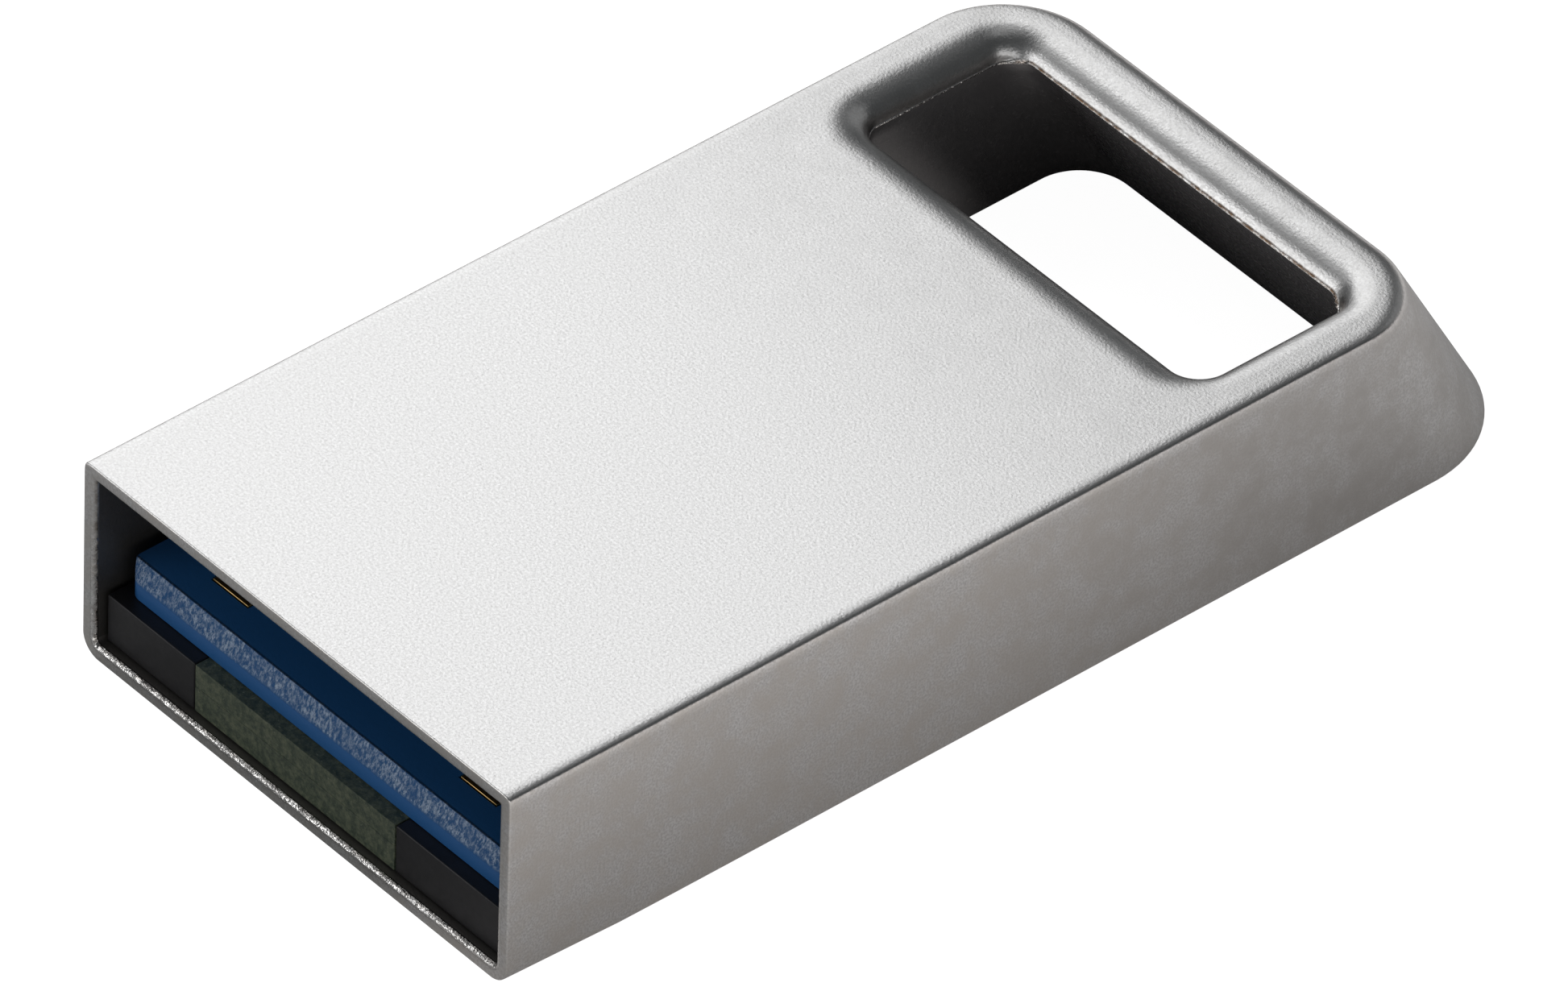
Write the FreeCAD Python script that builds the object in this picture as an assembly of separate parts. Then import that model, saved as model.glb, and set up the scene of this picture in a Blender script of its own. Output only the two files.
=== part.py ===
import FreeCAD, Part

import math
import os

# A one-piece metal USB flash drive: a type A plug sleeve whose far end is a lanyard ring.
# Lengths are millimetres and angles degrees. +Y runs from the open mouth to the ring, +Z is up,
# X runs across, and the origin is the centre of the flat foot.

Vector = FreeCAD.Vector

# ---- housing
body_width = 12.0
body_height = 4.5
body_length = 24.95
shell_wall = 0.32
end_lean = 31.6                # the ring end leans in towards the top
top_plan_radius = 1.9          # corners of the ring end, seen from above
foot_plan_radius = 2.67
top_edge_radius = 0.12         # long edges beside the top face
foot_edge_radius = 0.21
end_top_edge_radius = 0.3      # the same edges where they go round the ring end
end_foot_edge_radius = 0.12
mouth_edge_radius = 0.13

# ---- lanyard ring and its hole. The hole is narrowest at its neck, where the rolled top edge
# ---- stands vertical
ring_side_width = 1.23         # from the neck to the side of the body
ring_end_width = 1.02          # from the neck to the sharp far edge of the top face
neck_corner_radius = 0.65
hole_draft = 5.5               # front and side walls open out downwards
hole_back_lean = 29.8
foot_corner_growth = 0.45      # how much rounder the hole's corners are at the foot
top_roll_radius = 0.5
foot_roll_radius = 0.3
roll_lip = 0.1                 # straight metal left beyond each roll
liner_recess = 0.08            # the liner's wall stands back from the metal's
liner_front_wall = 0.6

# ---- clearances
fit_gap = 0.03                 # between pieces that slide into each other
seat_gap = 0.01                # between pieces that rest on each other
carrier_side_gap = 0.1
carrier_floor_gap = 0.05
spring_gap = 0.1               # round each sprung contact

# ---- carrier, board and what hangs under it
carrier_setback = 0.24
carrier_front_bar = 0.7
carrier_rail_width = 0.93
carrier_rail_height = 0.57
carrier_lip = 0.15
carrier_rear_bar = 0.5
window_width = 5.7
window_offset = -0.25
board_thickness = 0.5
spacer_length = 0.95
solder_gap = 0.02
memory_side_gap = 0.25
memory_height = 0.5
memory_setback = 1.45
controller_width = 5.0
controller_length = 4.0
controller_height = 0.46
controller_offset = -0.4
package_spacing = 0.35
package_rear_gap = 0.2
film_thickness = 0.04

# ---- tongue and contacts
tongue_setback = 0.56
tongue_side_gap = 0.3
tongue_thickness = 0.78
tongue_corner_radius = 0.3
tongue_bevel_length = 0.16
tongue_bevel_height = 0.38
socket_depth = 11.0
holder_length = 1.1
holder_roof_gap = 0.05
contact_thickness = 0.15
contact_stand = 0.02           # how far a flat contact stands above the tongue
flat_contact_width = 1.0
outer_contact_setback = 1.4
inner_contact_setback = 2.0
contact_row_gap = 0.53         # between the flat contacts and the slots of the sprung ones
outer_contact_x = 3.5
inner_contact_x = 1.0
contact_foot_length = 0.65
contact_bend_radius = 0.15
spring_contact_width = 0.7
spring_contact_pitch = 2.0
spring_crest_reach = 2.25      # from the end of the socket space to the crest
spring_crest_height = 0.45     # above the tongue
spring_tip_length = 0.62
spring_tip_depth = 0.12        # the free tip stays below the tongue's top by this
spring_rise_length = 2.3
spring_slot_front_margin = 0.3
pad_thickness = 0.02
pad_margin = 0.08

# ---- small parts on the rear of the board
bay_margin = 0.15              # between the contact feet and the bay
bay_length = 2.9
regulator_width = 2.9
regulator_length = 1.5
regulator_height = 1.1
regulator_lead_width = 0.4
regulator_lead_pitch = 0.95
regulator_lead_reach = 0.5
lead_thickness = 0.15
inductor_width = 2.5
inductor_length = 2.0
inductor_height = 1.2
crystal_width = 2.5
crystal_length = 2.0
crystal_height = 0.65
crystal_base_height = 0.3
crystal_lid_margin = 0.15
chip_length = 1.0              # capacitors and resistors
chip_width = 0.5
capacitor_height = 0.5
resistor_height = 0.35
chip_cap_length = 0.22
chip_cap_stand = 0.02
chip_spacing = 0.35
array_width = 1.0
array_length = 0.6
array_height = 0.4
small_radius = 0.08

overrun = 1.0                  # how far cutting shapes pass the faces that they cut
hole_overrun = 0.25            # the same for the lanyard hole, whose back wall leans
widest_corner = 0.48           # a hole corner's radius over the hole's length, at most


# ---- places worked out from the sizes above

lean_slope = math.tan(math.radians(end_lean))
back_slope = math.tan(math.radians(hole_back_lean))
draft_slope = math.tan(math.radians(hole_draft))
lean_stretch = 1 / math.cos(math.radians(end_lean))
back_stretch = 1 / math.cos(math.radians(hole_back_lean))
draft_stretch = 1 / math.cos(math.radians(hole_draft))

mouth_y = -body_length / 2
end_y = body_length / 2
foot_wedge = math.radians(90 - end_lean)
sharp_end_y = end_y + end_foot_edge_radius * (1 / math.tan(foot_wedge / 2) - 1)
corner_slope = (foot_plan_radius - top_plan_radius) / body_height

inner_half_width = body_width / 2 - shell_wall
floor_z = shell_wall
roof_z = body_height - shell_wall
neck_z = body_height - top_roll_radius
top_lip_z = neck_z - roll_lip
foot_lip_z = foot_roll_radius + roll_lip
neck_half_width = body_width / 2 - ring_side_width

carrier_half_width = inner_half_width - carrier_side_gap
carrier_front_y = mouth_y + carrier_setback
carrier_z = floor_z + carrier_floor_gap
rail_inner_x = carrier_half_width - carrier_rail_width
board_z = carrier_z + carrier_rail_height + seat_gap
board_top_z = board_z + board_thickness
board_half_width = carrier_half_width - carrier_lip - fit_gap
board_front_y = carrier_front_y + carrier_front_bar + fit_gap
package_z = board_z - solder_gap

tongue_half_width = inner_half_width - tongue_side_gap
tongue_front_y = mouth_y + tongue_setback
tongue_z = board_top_z + pad_thickness
tongue_top_z = tongue_z + tongue_thickness
holder_front_y = mouth_y + socket_depth
tongue_back_y = holder_front_y + holder_length
foot_centre_z = board_top_z + pad_thickness + seat_gap + contact_thickness / 2

flat_contact_z = tongue_top_z + contact_stand - contact_thickness / 2
spring_root_z = tongue_top_z - spring_gap / 2 - contact_thickness / 2
spring_leg_y = tongue_back_y + spring_gap + contact_thickness / 2
spring_crest_y = holder_front_y - spring_crest_reach
spring_slot_front_y = spring_crest_y - spring_tip_length - spring_slot_front_margin
flat_contact_end_y = spring_slot_front_y - contact_row_gap
flat_contact_back_y = flat_contact_end_y - contact_thickness / 2
spring_axis_y = spring_leg_y - contact_bend_radius
spring_axis_z = spring_root_z - contact_bend_radius

bay_front_y = spring_leg_y + contact_foot_length + bay_margin
bay_centre_y = bay_front_y + bay_length / 2
board_back_y = bay_front_y + bay_length
carrier_back_y = board_back_y + fit_gap + carrier_lip
rear_bar_y = carrier_back_y - carrier_rear_bar
controller_back_y = rear_bar_y - package_rear_gap
memory_front_y = mouth_y + memory_setback
memory_back_y = controller_back_y - controller_length - package_spacing

liner_front_y = carrier_back_y + 2 * fit_gap
neck_front_y = liner_front_y + liner_front_wall + neck_z * draft_slope
neck_back_y = sharp_end_y - body_height * lean_slope - ring_end_width


# ---- general shapes

def box(x_low, x_high, y_low, y_high, z_low, z_high):
    """A box between two corners."""
    return Part.makeBox(x_high - x_low, y_high - y_low, z_high - z_low, Vector(x_low, y_low, z_low))


def centred_box(x, y, z_low, width, length, height):
    """A box whose foot is centred on x, y."""
    return box(x - width / 2, x + width / 2, y - length / 2, y + length / 2, z_low, z_low + height)


def round_corner(centre, start, end, radius):
    """The quarter of a circle between two tangent points."""
    outward = ((start - centre) + (end - centre)).normalize()
    return Part.Arc(start, centre + outward * radius, end).toShape()


def plan_outline(half_width, y_front, y_back, z, front_radius, back_radius):
    """A level rectangle with round corners. A front radius of 0 leaves the front corners square."""
    corners = [(half_width, y_front, -1, 1, front_radius), (half_width, y_back, -1, -1, back_radius),
               (-half_width, y_back, 1, -1, back_radius), (-half_width, y_front, 1, 1, front_radius)]
    joints = []
    for x, y, to_x, to_y, radius in corners:
        along_x = Vector(x + to_x * radius, y, z)
        along_y = Vector(x, y + to_y * radius, z)
        centre = Vector(x + to_x * radius, y + to_y * radius, z)
        order = (along_x, along_y) if to_x * to_y < 0 else (along_y, along_x)
        joints.append((order[0], order[1], centre, radius))
    edges = []
    for (_, leave, _, _), (arrive, away, centre, radius) in zip(joints[-1:] + joints[:-1], joints):
        edges.append(Part.LineSegment(leave, arrive).toShape())
        if radius > 0:
            edges.append(round_corner(centre, arrive, away, radius))
    return Part.Wire(edges)


def loft(outlines):
    """A solid with straight walls between two outlines."""
    return Part.makeLoft(outlines, True, True)


def rounded_edges(shape, radius_at):
    """The shape with edges rounded. radius_at gives an edge's radii at its ends, or None."""
    document = FreeCAD.newDocument("rounding")
    source = document.addObject("Part::Feature", "source")
    source.Shape = shape
    rows = []
    for number, edge in enumerate(shape.Edges, 1):
        radii = radius_at(edge)
        if radii is not None:
            rows.append((number,) + radii)
    rounding = document.addObject("Part::Fillet", "rounded")
    rounding.Base = source
    rounding.Edges = rows
    document.recompute()
    result = rounding.Shape.copy()
    FreeCAD.closeDocument(document.Name)
    return result.Solids[0] if len(result.Solids) == 1 else result


def edge_is_level(edge, z):
    """Whether a whole edge lies at height z."""
    return abs(edge.BoundBox.ZMin - z) < 1e-4 and abs(edge.BoundBox.ZMax - z) < 1e-4


def all_edges_rounded(solid, radius):
    """The solid with every edge rounded by one radius."""
    return solid.makeFillet(radius, solid.Edges)


def bent_path(points, radius):
    """Straight runs between points, joined by tangent arcs of one radius."""
    edges = []
    leave = points[0]
    for before, corner, after in zip(points, points[1:], points[2:]):
        back = (before - corner).normalize()
        onward = (after - corner).normalize()
        half_angle = back.getAngle(onward) / 2
        reach = radius / math.tan(half_angle)
        inward = (back + onward).normalize()
        middle = corner + inward * (radius / math.sin(half_angle) - radius)
        arrive = corner + back * reach
        edges.append(Part.LineSegment(leave, arrive).toShape())
        leave = corner + onward * reach
        edges.append(Part.Arc(arrive, middle, leave).toShape())
    edges.append(Part.LineSegment(leave, points[-1]).toShape())
    return Part.Wire(edges)


def bent_strip(x, profile, width):
    """Flat strip of contact metal bent along a path of (y, z) points, which starts along Y."""
    points = [Vector(x, y, z) for y, z in profile]
    left = Vector(-width / 2, 0, 0)
    up = Vector(0, 0, contact_thickness / 2)
    section = Part.makePolygon([points[0] + left - up, points[0] - left - up, points[0] - left + up,
                                points[0] + left + up, points[0] + left - up])
    return bent_path(points, contact_bend_radius).makePipeShell([section], True, False)


# ---- housing and liner

def body_outline(z, margin):
    """The outline of the body at height z, set in by a margin all round but at the mouth."""
    back = sharp_end_y - z * lean_slope - margin * lean_stretch
    front = mouth_y if margin == 0 else mouth_y - overrun
    radius = foot_plan_radius - z * corner_slope - margin
    return plan_outline(body_width / 2 - margin, front, back, z, 0, radius)


def hole_form(z_low, z_high, margin):
    """The lanyard hole between two heights, widened by a margin."""
    outlines = []
    for z in (z_low, z_high):
        drop = neck_z - z
        side = drop * draft_slope + margin * draft_stretch - top_roll_radius * (draft_stretch - 1)
        back = drop * back_slope + margin * back_stretch - top_roll_radius * (back_stretch - 1)
        front_y = neck_front_y - side
        back_y = neck_back_y + back
        radius = neck_corner_radius + foot_corner_growth * drop / neck_z + margin
        radius = min(radius, (back_y - front_y) * widest_corner)
        outlines.append(plan_outline(neck_half_width + side, front_y, back_y, z, radius, radius))
    return loft(outlines)


def core_form(gap):
    """The space inside the housing, set in by a gap: it stops short of the rolled hole edges."""
    margin = shell_wall + gap
    space = loft([body_outline(margin, margin), body_outline(body_height - margin, margin)])
    space = space.cut(hole_form(top_lip_z - gap, body_height + hole_overrun, margin))
    space = space.cut(hole_form(-hole_overrun, foot_lip_z + gap, margin))
    roll_inside = top_roll_radius - margin
    foot_inside = foot_edge_radius - margin

    def radius_at(edge):
        y_middle = edge.BoundBox.Center.y
        inside_ring = edge.BoundBox.YMin > neck_front_y - 2 * top_roll_radius
        on_hole = inside_ring and edge.BoundBox.YMax < neck_back_y + 2 * top_roll_radius
        on_hole = on_hole and max(abs(edge.BoundBox.XMin), abs(edge.BoundBox.XMax)) < neck_half_width + margin * 2
        if edge_is_level(edge, body_height - margin) and on_hole and roll_inside > small_radius / 2:
            return roll_inside, roll_inside
        long_edge = edge_is_level(edge, margin) and edge.Length > body_length / 2
        if long_edge and foot_inside > 0 and abs(y_middle) < body_length / 4:
            return foot_inside, foot_inside
        return None

    return rounded_edges(space, radius_at)


def metal_housing():
    """One drawn shell: plug sleeve, body and lanyard ring."""
    body = loft([body_outline(0, 0), body_outline(body_height, 0)])

    def outer_radius_at(edge):
        top = edge_is_level(edge, body_height)
        if not (top or edge_is_level(edge, 0)) or edge.BoundBox.YMax < mouth_y + small_radius:
            return None
        along_side = top_edge_radius if top else foot_edge_radius
        round_end = end_top_edge_radius if top else end_foot_edge_radius
        turn_y = sharp_end_y - foot_plan_radius
        if top:
            turn_y = sharp_end_y - body_height * lean_slope - top_plan_radius
        ends = (edge.Vertexes[0].Point.y, edge.Vertexes[-1].Point.y)
        return tuple(round_end if y > turn_y + small_radius / 2 else along_side for y in ends)

    body = rounded_edges(body, outer_radius_at)
    body = body.cut(hole_form(-hole_overrun, body_height + hole_overrun, 0))

    def finish_radius_at(edge):
        bounds = edge.BoundBox
        if bounds.YMax < mouth_y + 1e-4:
            return mouth_edge_radius, mouth_edge_radius
        near_hole = bounds.YMin > neck_front_y - top_roll_radius - roll_lip
        near_hole = near_hole and max(abs(bounds.XMin), abs(bounds.XMax)) < neck_half_width + top_roll_radius
        if near_hole and edge_is_level(edge, body_height) and bounds.YMax < neck_back_y:
            return top_roll_radius, top_roll_radius
        near_foot_hole = max(abs(bounds.XMin), abs(bounds.XMax)) < neck_half_width + neck_z * draft_slope
        if near_foot_hole and edge_is_level(edge, 0) and bounds.YMax < neck_back_y + neck_z * back_slope:
            return foot_roll_radius, foot_roll_radius
        return None

    body = rounded_edges(body, finish_radius_at)
    return body.cut(core_form(0))


def ring_liner():
    """Moulded filling of the ring, which lines the lanyard hole between the rolled edges."""
    core = core_form(fit_gap)
    front = box(-body_width, body_width, mouth_y - 2 * overrun, liner_front_y, -overrun,
                body_height + overrun)
    return core.cut(front).cut(hole_form(-hole_overrun, body_height + hole_overrun, liner_recess))


# ---- carrier, board and film

def board_carrier():
    """Black moulded frame: front bar with a window, two rails, a rear bar and a low lip."""
    frame = box(-carrier_half_width, carrier_half_width, carrier_front_y, carrier_back_y,
                carrier_z, board_top_z)
    opening = box(-rail_inner_x, rail_inner_x, carrier_front_y + carrier_front_bar, rear_bar_y,
                  -overrun, body_height)
    seat_x = board_half_width + fit_gap
    seat = box(-seat_x, seat_x, carrier_front_y + carrier_front_bar, carrier_back_y - carrier_lip,
               board_z - seat_gap, body_height)
    window = box(window_offset - window_width / 2, window_offset + window_width / 2,
                 carrier_front_y - overrun, carrier_front_y + carrier_front_bar + overrun,
                 -overrun, body_height)
    return frame.cut(opening).cut(seat).cut(window)


def circuit_board():
    """The board, with a front tab that fills the top of the carrier's window."""
    board = box(-board_half_width, board_half_width, board_front_y, board_back_y, board_z, board_top_z)
    tab_half_width = window_width / 2 - fit_gap
    tab = box(window_offset - tab_half_width, window_offset + tab_half_width, carrier_front_y,
              board_front_y + overrun, board_z, board_top_z)
    return board.fuse(tab).removeSplitter()


def front_spacer():
    """Strip of board material that carries the board's front tab on the floor of the shell."""
    half_width = window_width / 2 - fit_gap
    return box(window_offset - half_width, window_offset + half_width, carrier_front_y,
               carrier_front_y + spacer_length, carrier_z, board_z - seat_gap)


def memory_package():
    """Thin package hung under the board."""
    half_width = rail_inner_x - memory_side_gap
    package = box(-half_width, half_width, memory_front_y, memory_back_y, package_z - memory_height,
                  package_z)
    return all_edges_rounded(package, small_radius)


def controller_package():
    """Thin package hung under the board, behind the memory."""
    package = box(controller_offset - controller_width / 2, controller_offset + controller_width / 2,
                  controller_back_y - controller_length, controller_back_y,
                  package_z - controller_height, package_z)
    return all_edges_rounded(package, small_radius)


def insulating_film():
    """Film on the floor of the shell, under both packages."""
    half_width = rail_inner_x - fit_gap
    front = carrier_front_y + max(spacer_length, carrier_front_bar) + fit_gap
    return box(-half_width, half_width, front, rear_bar_y - fit_gap, floor_z + seat_gap,
               floor_z + seat_gap + film_thickness)


# ---- tongue and contacts

def spring_positions():
    """The five sprung contacts' places across the tongue."""
    return [step * spring_contact_pitch for step in (-2, -1, 0, 1, 2)]


def flat_contacts():
    """Each flat contact's place across the tongue, and how far its tip is from the mouth."""
    return [(-outer_contact_x, outer_contact_setback), (-inner_contact_x, inner_contact_setback),
            (inner_contact_x, inner_contact_setback), (outer_contact_x, outer_contact_setback)]


def tongue():
    """Blue moulded tongue, bevelled at the front, with grooves for nine contacts."""
    outline = plan_outline(tongue_half_width, tongue_front_y, tongue_back_y, tongue_z,
                           tongue_corner_radius, small_radius)
    blade = Part.Face(outline).extrude(Vector(0, 0, tongue_thickness))
    low = tongue_top_z - tongue_bevel_height
    bevel = Part.makePolygon([Vector(-body_width, tongue_front_y - overrun, body_height),
                              Vector(-body_width, tongue_front_y - overrun, low),
                              Vector(-body_width, tongue_front_y, low),
                              Vector(-body_width, tongue_front_y + tongue_bevel_length, tongue_top_z),
                              Vector(-body_width, tongue_front_y + tongue_bevel_length, body_height),
                              Vector(-body_width, tongue_front_y - overrun, body_height)])
    blade = blade.cut(Part.Face(bevel).extrude(Vector(2 * body_width, 0, 0)))
    for x, setback in flat_contacts():
        half = flat_contact_width / 2 + fit_gap
        back = flat_contact_end_y + fit_gap
        groove_z = flat_contact_z - contact_thickness / 2 - fit_gap
        blade = blade.cut(box(x - half, x + half, mouth_y + setback - fit_gap, back, groove_z, body_height))
        leg_front = back - contact_thickness - contact_bend_radius - 2 * fit_gap
        blade = blade.cut(box(x - half, x + half, leg_front, back, tongue_z - overrun, body_height))
        foot_front = back - contact_foot_length - contact_thickness - 2 * fit_gap
        foot_z = foot_centre_z + contact_thickness / 2 + fit_gap
        blade = blade.cut(box(x - half, x + half, foot_front, back, tongue_z - overrun, foot_z))
    half = spring_contact_width / 2 + spring_gap
    slot_back = holder_front_y - spring_gap
    groove_z = spring_root_z - contact_thickness - spring_gap - pressed_drop(tongue_back_y - slot_back)
    for x in spring_positions():
        blade = blade.cut(box(x - half, x + half, spring_slot_front_y, slot_back, 0, body_height))
        blade = blade.cut(box(x - half, x + half, slot_back - overrun, tongue_back_y + overrun, groove_z,
                              body_height))
    return blade


def pressed_drop(distance):
    """How far a sprung contact goes down at a distance from its axis, when its crest is level."""
    crest_travel = spring_crest_height
    return crest_travel * distance / (spring_axis_y - spring_crest_y)


def contact_holder():
    """Block on the rear of the tongue: it closes the socket space and holds the sprung contacts."""
    height = roof_z - holder_roof_gap - tongue_top_z - seat_gap
    block = box(-tongue_half_width, tongue_half_width, holder_front_y, tongue_back_y,
                tongue_top_z + seat_gap, tongue_top_z + seat_gap + height)
    return block.makeFillet(small_radius, [edge for edge in block.Edges if edge.Length < height + 1e-6])


def adhesive_pad():
    """Bond line between the contact holder and the roof of the shell."""
    inset = contact_bend_radius
    return box(-tongue_half_width + inset, tongue_half_width - inset, holder_front_y + inset,
               tongue_back_y - inset, roof_z - holder_roof_gap + seat_gap, roof_z - seat_gap)


def flat_contact(x, setback):
    """Gold strip on the tongue, turned down through it to a foot on the board."""
    back = flat_contact_back_y
    profile = [(mouth_y + setback, flat_contact_z), (back, flat_contact_z), (back, foot_centre_z),
               (back - contact_foot_length, foot_centre_z)]
    return bent_strip(x, profile, flat_contact_width)


def sprung_contact(x):
    """Gold spring: foot, rear bend, rise to the crest and a free tip that dips into its slot."""
    crest_z = tongue_top_z + spring_crest_height - contact_thickness / 2
    rise_y = spring_crest_y + spring_rise_length
    tip_z = tongue_top_z - spring_tip_depth - contact_thickness / 2
    profile = [(spring_leg_y + contact_foot_length, foot_centre_z), (spring_leg_y, foot_centre_z),
               (spring_leg_y, spring_root_z), (rise_y, spring_root_z), (spring_crest_y, crest_z),
               (spring_crest_y - spring_tip_length, tip_z)]
    return bent_strip(x, profile, spring_contact_width)


def solder_pads():
    """Copper pads on the board under the nine contact feet."""
    pads = []
    length = contact_foot_length + contact_thickness
    for x, _ in flat_contacts():
        y = flat_contact_back_y - contact_foot_length / 2
        pads.append(centred_box(x, y, board_top_z, flat_contact_width, length, pad_thickness))
    for x in spring_positions():
        y = spring_leg_y + contact_foot_length / 2
        width = spring_contact_width + 2 * pad_margin
        pads.append(centred_box(x, y, board_top_z, width, length, pad_thickness))
    return Part.makeCompound(pads)


# ---- small parts on the rear of the board

part_z = board_top_z + seat_gap
row_widths = (regulator_width, inductor_width, crystal_width, chip_length, array_length)
row_gap = (2 * board_half_width - sum(row_widths)) / (len(row_widths) + 1)


def row_centre(place):
    """The middle, across X, of one of the five places in the row of small parts."""
    return -board_half_width + row_gap * (place + 1) + sum(row_widths[:place]) + row_widths[place] / 2


regulator_x, inductor_x, crystal_x, chip_x, array_x = (row_centre(place) for place in range(5))


def voltage_regulator():
    """Small moulded regulator with five bent leads."""
    body = all_edges_rounded(centred_box(regulator_x, bay_centre_y, part_z + lead_thickness,
                                         regulator_width, regulator_length,
                                         regulator_height - lead_thickness), small_radius)
    rows = ((-1, (-1, 0, 1)), (1, (-1, 1)))
    for side, places in rows:
        for place in places:
            x = regulator_x + place * regulator_lead_pitch
            inner = bay_centre_y + side * (regulator_length / 2 - regulator_lead_reach / 2)
            knee = bay_centre_y + side * (regulator_length / 2 + lead_thickness)
            outer = bay_centre_y + side * (regulator_length / 2 + regulator_lead_reach)
            shelf_z = part_z + regulator_height / 2
            arm = box(x - regulator_lead_width / 2, x + regulator_lead_width / 2,
                      min(inner, knee), max(inner, knee), shelf_z - lead_thickness, shelf_z)
            leg = box(x - regulator_lead_width / 2, x + regulator_lead_width / 2,
                      min(knee, knee - side * lead_thickness), max(knee, knee - side * lead_thickness),
                      part_z, shelf_z)
            foot = box(x - regulator_lead_width / 2, x + regulator_lead_width / 2,
                       min(knee - side * lead_thickness, outer), max(knee - side * lead_thickness, outer),
                       part_z, part_z + lead_thickness)
            body = body.fuse([arm, leg, foot])
    return body.removeSplitter()


def power_inductor():
    """Moulded inductor with rounded edges."""
    return all_edges_rounded(centred_box(inductor_x, bay_centre_y, part_z, inductor_width,
                                         inductor_length, inductor_height), small_radius)


def crystal():
    """Crystal can: a metal lid on a ceramic base."""
    base = centred_box(crystal_x, bay_centre_y, part_z, crystal_width, crystal_length, crystal_base_height)
    lid = centred_box(crystal_x, bay_centre_y, part_z + crystal_base_height,
                      crystal_width - 2 * crystal_lid_margin, crystal_length - 2 * crystal_lid_margin,
                      crystal_height - crystal_base_height)
    lid = lid.makeFillet(small_radius, [edge for edge in lid.Edges
                                        if edge.BoundBox.ZMax > part_z + crystal_base_height + small_radius])
    return base.fuse(lid).removeSplitter()


def chip(x, y, height):
    """A chip part across X: a body with a slightly proud metal cap on each end."""
    body = centred_box(x, y, part_z + chip_cap_stand, chip_length - chip_cap_length,
                       chip_width - 2 * chip_cap_stand, height - 2 * chip_cap_stand)
    for side in (-1, 1):
        cap = centred_box(x + side * (chip_length - chip_cap_length) / 2, y, part_z, chip_cap_length,
                          chip_width, height)
        body = body.fuse(cap)
    return body.removeSplitter()


def chip_rows():
    """The middles of four rows of chip parts, from front to back of the bay."""
    pitch = chip_width + chip_spacing / 2
    return [bay_centre_y + (row - 1.5) * pitch for row in range(4)]


def capacitors():
    """Two chip capacitors beside the crystal."""
    rows = chip_rows()
    return Part.makeCompound([chip(chip_x, y, capacitor_height) for y in rows[:2]])


def resistors():
    """Two chip resistors behind the capacitors."""
    rows = chip_rows()
    return Part.makeCompound([chip(chip_x, y, resistor_height) for y in rows[2:]])


def surge_arrays():
    """Two small arrays that protect the data lines, at the edge of the board."""
    arrays = []
    for side in (-1, 1):
        y = bay_centre_y + side * (array_width + chip_spacing) / 2
        arrays.append(all_edges_rounded(centred_box(array_x, y, part_z, array_length, array_width, array_height),
                                        small_radius / 2))
    return Part.makeCompound(arrays)


# ---- all nodes

def nodes():
    """Every piece by its name."""
    pieces = {
        "metal_housing": metal_housing(),
        "ring_liner": ring_liner(),
        "board_carrier": board_carrier(),
        "circuit_board": circuit_board(),
        "front_spacer": front_spacer(),
        "memory_package": memory_package(),
        "controller_package": controller_package(),
        "insulating_film": insulating_film(),
        "tongue": tongue(),
        "contact_holder": contact_holder(),
        "adhesive_pad": adhesive_pad(),
        "solder_pads": solder_pads(),
        "voltage_regulator": voltage_regulator(),
        "power_inductor": power_inductor(),
        "crystal": crystal(),
        "capacitors": capacitors(),
        "resistors": resistors(),
        "surge_arrays": surge_arrays(),
    }
    flat_names = ("power_contact", "data_minus_contact", "data_plus_contact", "ground_contact")
    for name, (x, setback) in zip(flat_names, flat_contacts()):
        pieces[name] = flat_contact(x, setback)
    sprung_names = ("receive_minus_contact", "receive_plus_contact", "drain_contact",
                    "transmit_minus_contact", "transmit_plus_contact")
    for name, x in zip(sprung_names, spring_positions()):
        pieces[name] = sprung_contact(x)
    return pieces


os.makedirs("parts", exist_ok=True)
for name, shape in nodes().items():
    shape.exportStep("parts/" + name + ".step")
    print(name, "valid" if shape.isValid() else "NOT VALID", len(shape.Solids), "solids",
          round(shape.Volume, 4), "mm3")
print("sprung contact axis", round(spring_axis_y, 4), round(spring_axis_z, 4),
      "lever", round(spring_axis_y - spring_crest_y, 4))
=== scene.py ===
import logging
import math
from dataclasses import dataclass, field
from enum import Enum

import bmesh
import bpy
import numpy as np
from mathutils import Matrix, Vector


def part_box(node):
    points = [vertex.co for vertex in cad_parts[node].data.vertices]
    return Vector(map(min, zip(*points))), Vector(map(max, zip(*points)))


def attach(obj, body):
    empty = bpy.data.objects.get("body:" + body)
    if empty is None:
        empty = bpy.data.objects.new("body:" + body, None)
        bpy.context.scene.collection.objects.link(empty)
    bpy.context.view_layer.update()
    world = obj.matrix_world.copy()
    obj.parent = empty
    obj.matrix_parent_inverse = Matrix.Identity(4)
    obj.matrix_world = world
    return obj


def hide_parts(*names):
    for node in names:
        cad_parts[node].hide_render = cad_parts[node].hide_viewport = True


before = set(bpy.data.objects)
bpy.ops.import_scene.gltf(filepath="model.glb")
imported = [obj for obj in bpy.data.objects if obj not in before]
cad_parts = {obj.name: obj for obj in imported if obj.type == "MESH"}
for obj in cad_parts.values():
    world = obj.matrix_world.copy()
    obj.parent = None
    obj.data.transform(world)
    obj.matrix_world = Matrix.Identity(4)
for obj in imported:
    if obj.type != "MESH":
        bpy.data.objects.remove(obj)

# A one-piece metal flash drive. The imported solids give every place; this script gives the visible
# pieces their fine shapes and their finishes, and lights them like a small studio.
# Sizes in the classes are millimetres unless they say otherwise; meshes are made in metres.

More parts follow.
